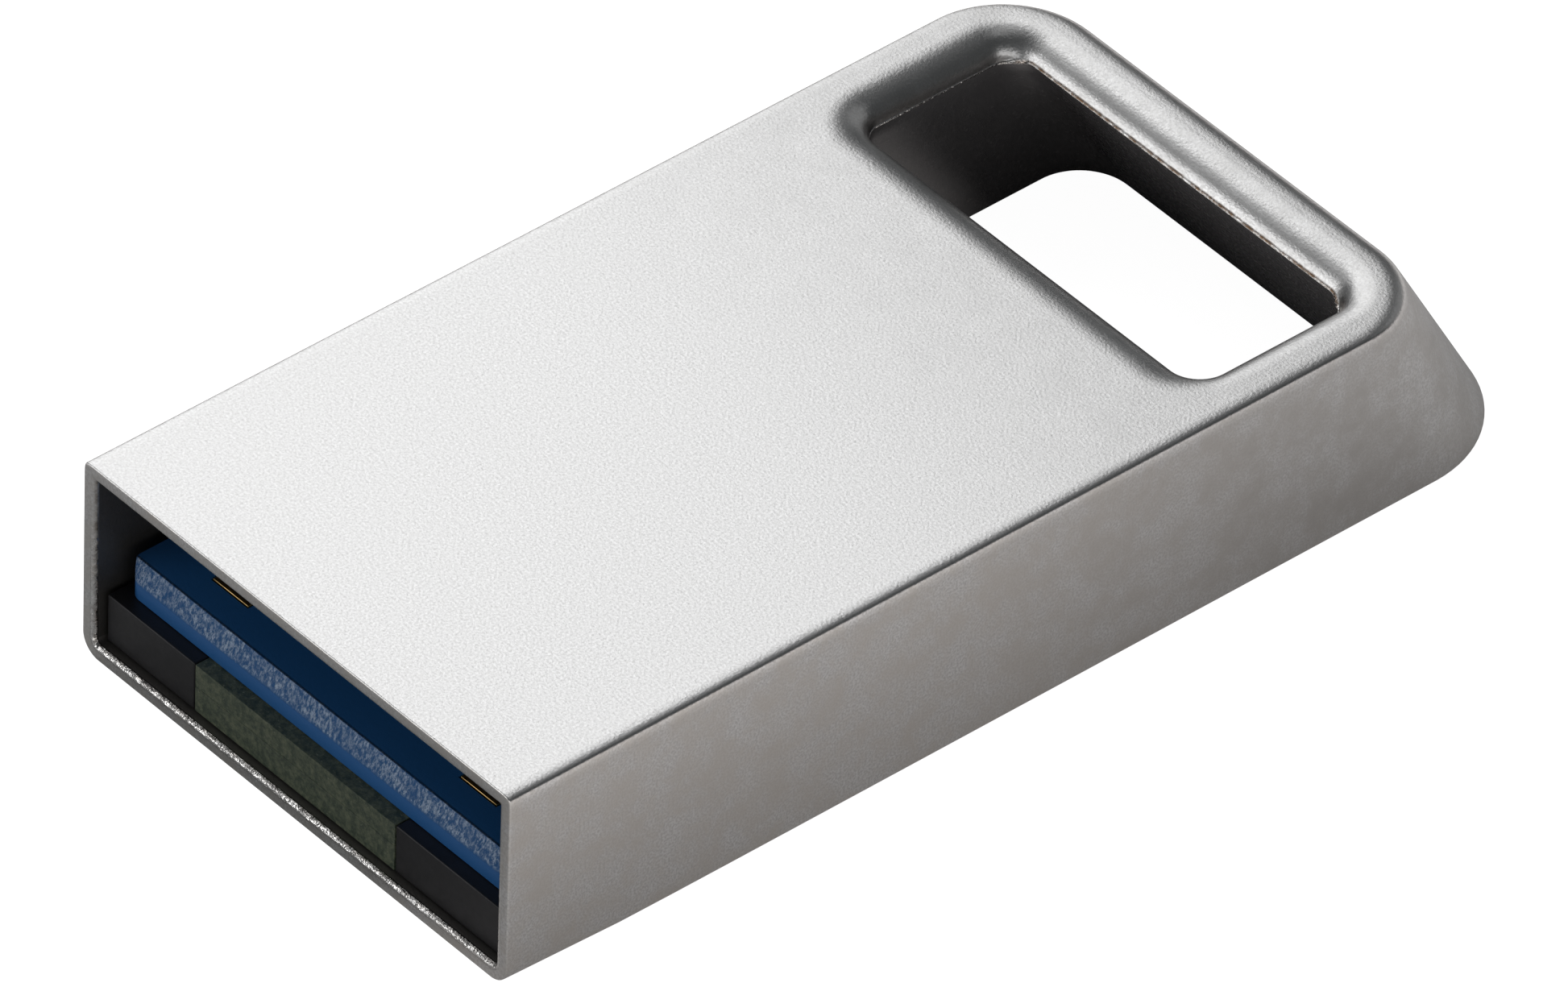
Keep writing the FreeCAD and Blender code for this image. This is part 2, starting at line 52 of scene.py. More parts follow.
MM = 0.001
LOG = logging.getLogger("flash_drive")
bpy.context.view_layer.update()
Colour = tuple[float, float, float]
Values = np.ndarray | float
SAME_PLACE = 1e-7  # metres
WHITE = (1.0, 1.0, 1.0)


# ---------------------------------------------------------------- shader maths

class Wire:
    """One shader socket, on which sums are written as Python expressions."""

    def __init__(self, recipe: "Recipe", socket: bpy.types.NodeSocket) -> None:
        """Keeps the socket and the node tree that it belongs to.

        Args:
            recipe: the node tree being written.
            socket: the output socket to wrap.
        """
        self.recipe = recipe
        self.socket = socket

    def _math(self, operation: str, *values: "Wire | float") -> "Wire":
        """Adds one Math node.

        Args:
            operation: the Math node's operation.
            values: its inputs in order.

        Returns:
            The node's output.
        """
        return self.recipe.node("ShaderNodeMath", {"operation": operation}, dict(enumerate(values)))

    def __add__(self, other: "Wire | float") -> "Wire":
        """Sum."""
        return self._math("ADD", self, other)

    def __radd__(self, other: float) -> "Wire":
        """Reflected sum."""
        return self._math("ADD", other, self)

    def __sub__(self, other: "Wire | float") -> "Wire":
        """Difference."""
        return self._math("SUBTRACT", self, other)

    def __rsub__(self, other: float) -> "Wire":
        """Reflected difference, such as 1 - mask."""
        return self._math("SUBTRACT", other, self)

    def __mul__(self, other: "Wire | float") -> "Wire":
        """Product."""
        return self._math("MULTIPLY", self, other)

    def __rmul__(self, other: float) -> "Wire":
        """Reflected product."""
        return self._math("MULTIPLY", other, self)

    def __abs__(self) -> "Wire":
        """Size without the sign."""
        return self._math("ABSOLUTE", self)

    def root(self) -> "Wire":
        """Square root."""
        return self._math("POWER", self, 0.5)

    def exp(self) -> "Wire":
        """e to the power of this value."""
        return self._math("EXPONENT", self)

    def at_least(self, other: "Wire | float") -> "Wire":
        """The larger of this value and another."""
        return self._math("MAXIMUM", self, other)

    def step(self, low: float, high: float) -> "Wire":
        """Smooth rise from 0 to 1.

        Args:
            low: where the rise starts; it may be the larger one, for a fall.
            high: where the rise ends.

        Returns:
            The rise, between 0 and 1.
        """
        rising = low < high
        ends = (low, high, 0.0, 1.0) if rising else (high, low, 1.0, 0.0)
        return self.recipe.node("ShaderNodeMapRange", {"interpolation_type": "SMOOTHSTEP"},
                                {"Value": self, "From Min": ends[0], "From Max": ends[1],
                                 "To Min": ends[2], "To Max": ends[3]})


class Recipe:
    """The node tree of one material."""

    def __init__(self, tree: bpy.types.NodeTree) -> None:
        """Empties a tree.

        Args:
            tree: the node tree to write.
        """
        self.tree = tree
        tree.nodes.clear()

    def node(self, kind: str, settings: dict, inputs: dict, output: int | str = 0) -> Wire:
        """Adds any node.

        Args:
            kind: the node's type.
            settings: its properties, set first.
            inputs: values or wires by socket name or number.
            output: the output to hand back, by name or number.

        Returns:
            That output.
        """
        made = self.tree.nodes.new(kind)
        for name, value in settings.items():
            setattr(made, name, value)
        for name, value in inputs.items():
            socket = made.inputs[name]
            if isinstance(value, Wire):
                self.tree.links.new(value.socket, socket)
            elif isinstance(value, tuple) and len(value) == 3 and socket.type == "RGBA":
                socket.default_value = (*value, 1.0)
            else:
                socket.default_value = value
        chosen = made.outputs[output] if made.outputs else None
        return Wire(self, chosen)

    def place(self, stretch: tuple[float, float, float] = (1.0, 1.0, 1.0)) -> Wire:
        """Object coordinates in millimetres.

        Args:
            stretch: a further factor on each axis.

        Returns:
            The coordinates.
        """
        raw = self.node("ShaderNodeTexCoord", {}, {}, "Object")
        return self.node("ShaderNodeMapping", {},
                         {"Vector": raw, "Scale": tuple(s / MM for s in stretch)})

    def axes(self, place: Wire) -> tuple[Wire, Wire, Wire]:
        """The three coordinates of a vector by themselves.

        Args:
            place: the vector.

        Returns:
            X, Y and Z.
        """
        parts = self.node("ShaderNodeSeparateXYZ", {}, {"Vector": place}).socket.node
        return tuple(Wire(self, parts.outputs[n]) for n in range(3))

    def noise(self, place: Wire, size: float, detail: float = 2.0, roughness: float = 0.5) -> Wire:
        """Soft noise around 0.5.

        Args:
            place: coordinates in millimetres.
            size: the width of one blotch in millimetres.
            detail: how many finer layers it has.
            roughness: how strong the finer layers are.

        Returns:
            The noise.
        """
        return self.node("ShaderNodeTexNoise", {},
                         {"Vector": place, "Scale": 1.0 / size, "Detail": detail,
                          "Roughness": roughness})

    def mark(self, name: str) -> Wire:
        """A number that the mesh carries at each point.

        Args:
            name: the attribute's name.

        Returns:
            Its value.
        """
        return self.node("ShaderNodeAttribute", {"attribute_name": name}, {}, "Fac")

    def blend(self, share: Wire | float, first: Wire | tuple, second: Wire | tuple) -> Wire:
        """Mix of two colours.

        Args:
            share: how much of the second colour.
            first: the first colour.
            second: the second colour.

        Returns:
            The mixed colour.
        """
        return self.node("ShaderNodeMix", {"data_type": "RGBA"},
                         {0: share, 6: first, 7: second}, 2)

    def relief(self, height: Wire, depth: float, under: Wire | None = None) -> Wire:
        """Surface normals of a fine relief.

        Args:
            height: the relief, 0 to 1.
            depth: its depth in millimetres.
            under: normals of a coarser relief below it.

        Returns:
            The normals.
        """
        inputs = {"Height": height, "Distance": depth * MM, "Strength": 1.0}
        if under is not None:
            inputs["Normal"] = under
        return self.node("ShaderNodeBump", {}, inputs)

    def glow(self, strength: Wire | float, colour: Colour = WHITE) -> Wire:
        """A shader that gives light."""
        return self.node("ShaderNodeEmission", {}, {"Color": colour, "Strength": strength})

    def choice(self, share: Wire, first: Wire, second: Wire) -> Wire:
        """Mix of two shaders, by the share of the second."""
        return self.node("ShaderNodeMixShader", {}, {0: share, 1: first, 2: second})

    def ray(self, kind: str) -> Wire:
        """1 where the ray is of a kind, such as a camera ray, else 0."""
        return self.node("ShaderNodeLightPath", {}, {}, kind)

    def surface(self, inputs: dict) -> Wire:
        """The main shader.

        Args:
            inputs: its sockets by name.

        Returns:
            The shader.
        """
        return self.node("ShaderNodeBsdfPrincipled", {}, inputs)

    def finish(self, shader: Wire) -> None:
        """Wires a shader to the material's output."""
        self.node("ShaderNodeOutputMaterial", {}, {"Surface": shader})


@dataclass(frozen=True)
class Finish:
    """A finish that can be made into a material."""

    name: str

    def shade(self, recipe: Recipe) -> Wire:
        """Writes the finish.

        Args:
            recipe: the empty node tree.

        Returns:
            The finished shader.
        """
        raise NotImplementedError

    def material(self) -> bpy.types.Material:
        """Makes the material on first use and shares it after that.

        Returns:
            The material.
        """
        made = bpy.data.materials.get(self.name)
        if made is None:
            made = bpy.data.materials.new(self.name)
            made.use_nodes = True
            recipe = Recipe(made.node_tree)
            recipe.finish(self.shade(recipe))
        return made


@dataclass(frozen=True)
class BlastedSteel(Finish):
    """Bead-blasted stainless steel, with brighter torn edges and a trace of soil in the folds."""

    colour: Colour = (0.80, 0.80, 0.80)
    dark: Colour = (0.60, 0.595, 0.59)
    warm: Colour = (0.655, 0.625, 0.588)
    bare: Colour = (0.95, 0.94, 0.92)
    soil: Colour = (0.15, 0.09, 0.05)
    # the dark colour of the painted shade inside the sleeve
    inside_shade: Colour = (0.20, 0.19, 0.18)
    # painted shade towards the ring: its colour, its span along the body in millimetres and its
    # patchiness
    ring_end_shade: Colour = (0.45, 0.447, 0.443)
    ring_end_shade_from: float = -4.0
    ring_end_shade_to: float = 9.0
    ring_end_shade_share: float = 0.42
    ring_end_shade_patches: float = 0.9
    rough: float = 0.33
    blotch_size: float = 0.7
    speck_size: float = 0.05
    speck_contrast: float = 2.2
    upright_contrast: float = 3.0
    torn_size: float = 0.16
    soil_size: float = 0.22
    chip_size: float = 0.11
    chip_depth: float = 0.05
    bead_size: float = 0.06
    bead_depth: float = 0.005

    def shade(self, recipe: Recipe) -> Wire:
        """Specked metal, warmer on upright walls and darker towards the ring, which is painted
        shade.

        Beads lie all over it. It is bright and chipped where marked torn, soiled where marked
        fringe, and rougher and darkened by painted shade where marked inside.

        Args:
            recipe: the empty node tree.

        Returns:
            The finished shader.
        """
        place = recipe.place()
        blotch = recipe.noise(place, self.blotch_size, 4.0, 0.65)
        speck = recipe.noise(place, self.speck_size, 3.0, 0.65) - 0.5
        torn, fringe, inside = (recipe.mark(name) for name in ("torn", "fringe", "inside"))
        _, _, up = recipe.axes(recipe.node("ShaderNodeTexCoord", {}, {}, "Normal"))
        _, along, _ = recipe.axes(place)
        upright = up.step(0.8, 0.2)
        contrast = upright * self.upright_contrast + self.speck_contrast
        tint = recipe.blend(0.5 + speck * contrast, self.colour, self.dark)
        tint = recipe.blend(upright * blotch.step(0.3, 0.7) * 0.8, tint, self.warm)
        # painted shade: the metal darkens in patches from the middle of the body towards the ring
        patches = self.ring_end_shade_share + (blotch - 0.5) * self.ring_end_shade_patches
        worn = along.step(self.ring_end_shade_from, self.ring_end_shade_to) * patches
        tint = recipe.blend(worn, tint, self.ring_end_shade)
        # painted shade: the inner skin of the sleeve is coloured dark
        tint = recipe.blend(inside, tint, self.inside_shade)
        broken = torn * recipe.noise(place, self.torn_size, 3.0, 0.7).step(0.38, 0.58)
        tint = recipe.blend(broken, tint, self.bare)
        grime = fringe * recipe.noise(place, self.soil_size, 3.0, 0.6).step(0.3, 0.62)
        tint = recipe.blend(grime, tint, self.soil)
        rough = self.rough + speck * 0.2 + inside * 0.2 - broken * 0.18
        fine = recipe.relief(recipe.noise(place, self.bead_size, 2.0, 0.55), self.bead_depth)
        chips = recipe.noise(place, self.chip_size, 2.0, 0.6) * torn
        fine = recipe.relief(chips, self.chip_depth, fine)
        return recipe.surface({"Base Color": tint, "Metallic": 1.0, "Roughness": rough,
                               "Normal": fine})


@dataclass(frozen=True)
class Moulding(Finish):
    """Moulded plastic with a faint grain."""

    colour: Colour = (0.02, 0.02, 0.022)
    worn: Colour = (0.05, 0.05, 0.055)
    rough: float = 0.45
    blotch_size: float = 0.9
    grain_size: float = 0.15
    grain_depth: float = 0.002

    def shade(self, recipe: Recipe) -> Wire:
        """Slight blotches in colour and gloss, over a fine mould grain.

        Args:
            recipe: the empty node tree.

        Returns:
            The finished shader.
        """
        place = recipe.place()
        blotch = recipe.noise(place, self.blotch_size, 3.0)
        grain = recipe.noise(place, self.grain_size, 3.0, 0.6)
        return recipe.surface({
            "Base Color": recipe.blend(blotch.step(0.35, 0.75) * 0.6, self.colour, self.worn),
            "Roughness": self.rough + (grain - 0.5) * 0.2,
            "Normal": recipe.relief(grain, self.grain_depth)})


@dataclass(frozen=True)
class BlueMoulding(Finish):
    """Blue glass-filled moulding whose front bevel is rough and scuffed pale."""

    colour: Colour = (0.022, 0.13, 0.37)
    pale: Colour = (0.60, 0.74, 0.92)
    bevel_length: float = 0.16
    bevel_height: float = 0.38
    rough: float = 0.42
    scuff_stretch: tuple[float, float, float] = (1.6, 1.0, 0.8)
    scuff_size: float = 0.1
    scuff_depth: float = 0.05
    patch_size: float = 0.5
    grain_size: float = 0.09
    grain_depth: float = 0.004

    def shade(self, recipe: Recipe) -> Wire:
        """Pale scuffs on the bevel only, which is near the mouth and above the front face.

        Args:
            recipe: the empty node tree.

        Returns:
            The finished shader.
        """
        place = recipe.place()
        low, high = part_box("tongue")
        _, y, z = recipe.axes(place)
        before = low[1] / MM + self.bevel_length
        above = high[2] / MM - self.bevel_height
        on_bevel = y.step(before + 0.06, before - 0.02) * z.step(above - 0.06, above + 0.04)
        scuff = recipe.noise(recipe.place(self.scuff_stretch), self.scuff_size, 5.0, 0.8)
        patch = recipe.noise(place, self.patch_size, 2.0).step(0.3, 0.6)
        scuffs = on_bevel * scuff.step(0.42, 0.66) * (0.6 + patch * 0.5)
        grain = recipe.noise(place, self.grain_size, 3.0, 0.6)
        fine = recipe.relief(grain, self.grain_depth)
        fine = recipe.relief(scuff * on_bevel, self.scuff_depth, fine)
        return recipe.surface({"Base Color": recipe.blend(scuffs, self.colour, self.pale),
                               "Roughness": self.rough + (grain - 0.5) * 0.2, "Normal": fine})


@dataclass(frozen=True)
class Laminate(Finish):
    """Dark green board laminate, mottled, with pale glass specks."""

    colour: Colour = (0.035, 0.055, 0.038)
    mottle: Colour = (0.15, 0.17, 0.11)
    speck: Colour = (0.3, 0.34, 0.24)
    rough: float = 0.5
    mottle_size: float = 0.14
    mottle_depth: float = 0.02
    speck_size: float = 0.06

    def shade(self, recipe: Recipe) -> Wire:
        """Two sizes of mottle, with rare pale specks where fine noise peaks.

        Args:
            recipe: the empty node tree.

        Returns:
            The finished shader.
        """
        place = recipe.place()
        mottle = recipe.noise(place, self.mottle_size, 5.0, 0.8)
        specks = recipe.noise(place, self.speck_size, 2.0, 0.5).step(0.64, 0.74)
        tint = recipe.blend(mottle.step(0.35, 0.7), self.colour, self.mottle)
        tint = recipe.blend(specks * 0.5, tint, self.speck)
        return recipe.surface({"Base Color": tint, "Roughness": self.rough,
                               "Normal": recipe.relief(mottle, self.mottle_depth)})


@dataclass(frozen=True)
class GoldPlate(Finish):
    """Gold plating over rolled bronze, with fine drawing lines."""

    colour: Colour = (0.86, 0.61, 0.25)
    worn: Colour = (0.70, 0.46, 0.18)
    line_stretch: tuple[float, float, float] = (14.0, 1.2, 14.0)
    line_depth: float = 0.002
    blotch_size: float = 0.5

    def shade(self, recipe: Recipe) -> Wire:
        """Lines along the strip, made by noise that is stretched along Y.

        Args:
            recipe: the empty node tree.

        Returns:
            The finished shader.
        """
        lines = recipe.noise(recipe.place(self.line_stretch), 1.0, 3.0, 0.6)
        blotch = recipe.noise(recipe.place(), self.blotch_size, 2.0)
        return recipe.surface({"Base Color": recipe.blend(blotch, self.colour, self.worn),
                               "Metallic": 1.0, "Roughness": 0.22 + lines * 0.16,
                               "Normal": recipe.relief(lines, self.line_depth)})


@dataclass(frozen=True)
class TinnedPart(Finish):
    """A chip part: a body finish in the middle and tinned metal at both ends of each part."""

    body: Colour = (0.35, 0.24, 0.14)
    tin: Colour = (0.78, 0.77, 0.74)
    rough: float = 0.45
    length: float = 1.0
    cap: float = 0.22
    middle: float = 0.0
    border: float = 0.012
    grain_size: float = 0.1
    grain_depth: float = 0.004

    def shade(self, recipe: Recipe) -> Wire:
        """Tin where the distance along X from the middle of the parts is that of the caps.

        Args:
            recipe: the empty node tree.

        Returns:
            The finished shader.
        """
        place = recipe.place()
        x, _, _ = recipe.axes(place)
        edge = self.length / 2 - self.cap
        metal = abs(x - self.middle).step(edge - self.border, edge + self.border)
        grain = recipe.noise(place, self.grain_size, 3.0)
        body = recipe.blend(grain, self.body, tuple(c * 0.7 for c in self.body))
        return recipe.surface({
            "Base Color": recipe.blend(metal, body, self.tin), "Metallic": metal,
            "Roughness": self.rough - metal * 0.15 + (grain - 0.5) * 0.2,
            "Normal": recipe.relief(grain, self.grain_depth)})


@dataclass(frozen=True)
class PlatedLid(Finish):
    """A plated lid over a pale ceramic base."""

    metal: Colour = (0.74, 0.72, 0.68)
    ceramic: Colour = (0.36, 0.33, 0.28)
    base_top: float = 0.0
    border: float = 0.008
    line_stretch: tuple[float, float, float] = (9.0, 0.8, 9.0)
    line_depth: float = 0.003

    def shade(self, recipe: Recipe) -> Wire:
        """Metal above the base's top face, ceramic below it, with rolling lines along Y.

        Args:
            recipe: the empty node tree.

        Returns:
            The finished shader.
        """
        _, _, z = recipe.axes(recipe.place())
        lid = z.step(self.base_top - self.border, self.base_top + self.border)
        lines = recipe.noise(recipe.place(self.line_stretch), 1.0, 3.0, 0.6)
        return recipe.surface({
            "Base Color": recipe.blend(lid, self.ceramic, self.metal), "Metallic": lid,
            "Roughness": 0.55 - lid * 0.25 + (lines - 0.5) * 0.12,
            "Normal": recipe.relief(lines, self.line_depth)})


@dataclass(frozen=True)
class Film(Finish):
    """Thin amber film with shallow ripples."""

    colour: Colour = (0.42, 0.17, 0.02)
    dark: Colour = (0.25, 0.09, 0.01)
    ripple_size: float = 1.4
    ripple_depth: float = 0.03

    def shade(self, recipe: Recipe) -> Wire:
        """Long soft ripples and a slight change of tint.

        Args:
            recipe: the empty node tree.

        Returns:
            The finished shader.
        """
        ripple = recipe.noise(recipe.place(), self.ripple_size, 2.0)
        return recipe.surface({"Base Color": recipe.blend(ripple, self.colour, self.dark),
                               "Roughness": 0.2 + ripple * 0.15,
                               "Normal": recipe.relief(ripple, self.ripple_depth)})


# ---------------------------------------------------------------- surfaces

@dataclass
class Skin:
    """Grids of points in millimetres that share their borders and are welded into one surface.

    A point has three coordinates and then the marks that the steel reads: torn, fringe, inside.
    Points are the same where they fall into the same cell of a grid, which has so many steps to a
    millimetre and is shifted by part of a step so that round numbers don't fall on its borders.
    """

    marks: tuple[str, ...] = ("torn", "fringe", "inside")
    weld_steps: float = 1e4
    weld_shift: float = 0.137
    points: list[np.ndarray] = field(default_factory=list)
    quads: list[np.ndarray] = field(default_factory=list)
    count: int = 0

    def add(self, grid: np.ndarray, round_columns: bool = False, turned: bool = False) -> None:
        """Adds a grid. Its faces look towards columns crossed with rows.

        Args:
            grid: rows x columns x channels; missing marks are zero.
            round_columns: whether the last column joins the first.
            turned: whether its faces look the other way.
        """
        rows, columns, channels = grid.shape
        full = np.zeros((rows, columns, 3 + len(self.marks)))
        full[:, :, :channels] = grid
        number = self.count + np.arange(rows * columns).reshape(rows, columns)
        if round_columns:
            number = np.concatenate([number, number[:, :1]], axis=1)
        faces = np.stack([number[:-1, :-1], number[:-1, 1:], number[1:, 1:], number[1:, :-1]],
                         axis=-1).reshape(-1, 4)
        self.points.append(full.reshape(-1, full.shape[2]))
        self.quads.append(faces[:, ::-1] if turned else faces)
        self.count += rows * columns

    def build(self, name: str) -> bpy.types.Object:
        """Welds points that fall together, drops collapsed faces and makes the object.

        A corner of a face is kept where it differs from the face's earlier corners, and a face
        where it keeps more than two.

        Args:
            name: the object's name.

        Returns:
            The object, smooth shaded, with its marks as attributes.
        """
        points = np.concatenate(self.points)
        key = np.round(points[:, :3] * self.weld_steps + self.weld_shift).astype(np.int64)
        _, first, where = np.unique(key, axis=0, return_index=True, return_inverse=True)
        corners = where.reshape(-1)[np.concatenate(self.quads)]
        fresh = np.stack([(corners[:, n:n + 1] != corners[:, :n]).all(axis=1) for n in range(4)],
                         axis=1)
        whole = fresh.sum(axis=1) > 2
        corners, fresh = corners[whole], fresh[whole]
        sizes = fresh.sum(axis=1)
        mesh = bpy.data.meshes.new(name)
        mesh.vertices.add(len(first))
        mesh.vertices.foreach_set("co", (points[first, :3] * MM).ravel())
        mesh.loops.add(len(corners[fresh]))
        mesh.loops.foreach_set("vertex_index", corners[fresh])
        mesh.polygons.add(len(sizes))
        mesh.polygons.foreach_set("loop_start", np.cumsum(sizes) - sizes)
        mesh.update(calc_edges=True)
        for number, mark in enumerate(self.marks):
            layer = mesh.attributes.new(mark, "FLOAT", "POINT")
            layer.data.foreach_set("value", points[first, 3 + number].astype(np.float32))
        mesh.polygons.foreach_set("use_smooth", np.ones(len(mesh.polygons), dtype=bool))
        mesh.validate()
        return placed(name, mesh)


def placed(name: str, data: bpy.types.ID) -> bpy.types.Object:
    """Puts a mesh, a light or a camera into the scene.

    Args:
        name: the object's name.
        data: what it shows.

    Returns:
        The new object.
    """
    made = bpy.data.objects.new(name, data)
    bpy.context.scene.collection.objects.link(made)
    return made


def turns(degrees: np.ndarray) -> np.ndarray:
    """Unit vectors in plan for angles from +X, as rows of x and y."""
    radians = np.radians(degrees)
    return np.stack([np.cos(radians), np.sin(radians)], axis=-1)


def at_height(plan: np.ndarray, z: Values) -> np.ndarray:
    """Plan points or vectors with a height as their third coordinate."""
    height = np.broadcast_to(np.asarray(z, dtype=float)[..., None], plan.shape[:-1] + (1,))
    return np.concatenate([plan, height], axis=-1)


def rounded_outline(places: np.ndarray, half: Values, low: Values, high: Values,
                    radius: Values) -> np.ndarray:
    """Plan points of a rectangle with round corners.

    Each point is a corner's centre, or a place between two centres, plus the radius times the
    wall's normal.

    Args:
        places: across, along and heading of the stations.
        half: half the rectangle's width.
        low: where along the body the first centres lie.
        high: where along the body the last centres lie.
        radius: the corners' radius.

    Returns:
        Points of two coordinates, by row where the sizes have rows, and by station.
    """
    across, along, heading = places
    normal = turns(heading)
    x = (half - radius) * across + radius * normal[:, 0]
    y = low + (high - low) * along + radius * normal[:, 1]
    return np.stack(np.broadcast_arrays(x, y), axis=-1)


@dataclass
class Stations:
    """Places round the body and round the lanyard hole that belong together.

    Both rounds start at the left of the mouth side, run up the left, across the ring end and back
    down the right. across goes from -1 to 1 over the straight parts, along from 0 to 1 over the
    sides, and heading is the plan angle of the wall's normal in degrees.

    The counts are steps in the runs round the hole. The body's sides have as many, split at a
    share of their length, and their first step from the mouth is a short one.
    """

    front_corner: int = 14
    side: int = 8
    back_corner: int = 20
    end: int = 30
    front: int = 40
    side_split: float = 0.84
    first_step: float = 0.0015

    def _run(self, keys: list[tuple[float, float, float]]) -> np.ndarray:
        """Places spread evenly between key places, by the counts of the runs.

        Args:
            keys: across, along and heading at the ends of each run.

        Returns:
            across, along and heading by station.
        """
        counts = [self.front_corner, self.side, self.back_corner, self.end, self.back_corner,
                  self.side, self.front_corner]
        at = np.concatenate([[0], np.cumsum(counts[:len(keys) - 1])])
        table = np.array(keys)
        steps = np.arange(at[-1] + 1)
        return np.stack([np.interp(steps, at, table[:, n]) for n in range(3)])

    def body(self) -> np.ndarray:
        """Stations round the body.

        Returns:
            Their across, along and heading.
        """
        split = self.side_split
        made = self._run([(-1, 0, 180), (-1, split, 180), (-1, 1, 180), (-1, 1, 90), (1, 1, 90),
                          (1, 1, 0), (1, split, 0), (1, 0, 0)])
        made[1, [1, -2]] = self.first_step
        return made

    def hole(self) -> np.ndarray:
        """Stations round the hole, with those of its front line last.

        Returns:
            Their across, along and heading.
        """
        ring = self._run([(-1, 0, 270), (-1, 0, 180), (-1, 1, 180), (-1, 1, 90), (1, 1, 90),
                          (1, 1, 0), (1, 0, 0), (1, 0, -90)])
        share = self.fractions()
        line = np.stack([1 - 2 * share, 0 * share, 270 + 0 * share])
        return np.concatenate([ring, line], axis=1)

    def fractions(self) -> np.ndarray:
        """Shares of the way along a front line, without its ends."""
        return np.arange(1, self.front + 1) / (self.front + 1)


@dataclass(frozen=True)
class EasedEdge:
    """A rounded edge that leaves a flat face softly and can meet the next one softly.

    Its radius at a turn is tight + wide * exp(-turn / ease) + late * exp((turn - end) / ease), and
    the lengths below are that radius times the cosine or the sine of the turn, added up over it.
    """

    tight: float | np.ndarray
    wide: float | np.ndarray = 0.0
    ease: float | np.ndarray = 0.2
    late: float | np.ndarray = 0.0
    end: float | np.ndarray = math.pi / 2

    def _part(self, turn: Values) -> Values:
        """The fading part's weight at a turn."""
        return self.wide * np.exp(-turn / self.ease) / (1 + self.ease ** -2)

    def _late_part(self, turn: Values) -> Values:
        """The growing part's weight at a turn."""
        return self.late * np.exp((turn - self.end) / self.ease) / (1 + self.ease ** -2)

    def run(self, turn: Values, last: Values) -> Values:
        """Length along the face that a part of the edge takes up.

        Args:
            turn: the turn at which the part starts.
            last: the turn at which it ends.

        Returns:
            The length.
        """
        def along(at: Values) -> Values:
            """The whole length from the start, plus a constant."""
            return (self.tight * np.sin(at)
                    + self._part(at) * (np.sin(at) - np.cos(at) / self.ease)
                    + self._late_part(at) * (np.sin(at) + np.cos(at) / self.ease))

        return along(last) - along(turn)

    def sink(self, turn: Values) -> Values:
        """Depth below the face.

        Args:
            turn: the turn at which it is wanted.

        Returns:
            The depth.
        """
        def depth(at: Values) -> Values:
            """The whole depth from the start, plus a constant."""
            return (-self.tight * np.cos(at)
                    - self._part(at) * (np.cos(at) + np.sin(at) / self.ease)
                    + self._late_part(at) * (np.sin(at) / self.ease - np.cos(at)))

        return depth(turn) - depth(0.0)


@dataclass(frozen=True)
class Roll:
    """How the sheet turns down into the hole along one side of it.

    reach is how far outside the neck the turn starts, and last is its last angle in degrees.
    """

    tight: float
    wide: float
    ease: float
    reach: float
    last: float


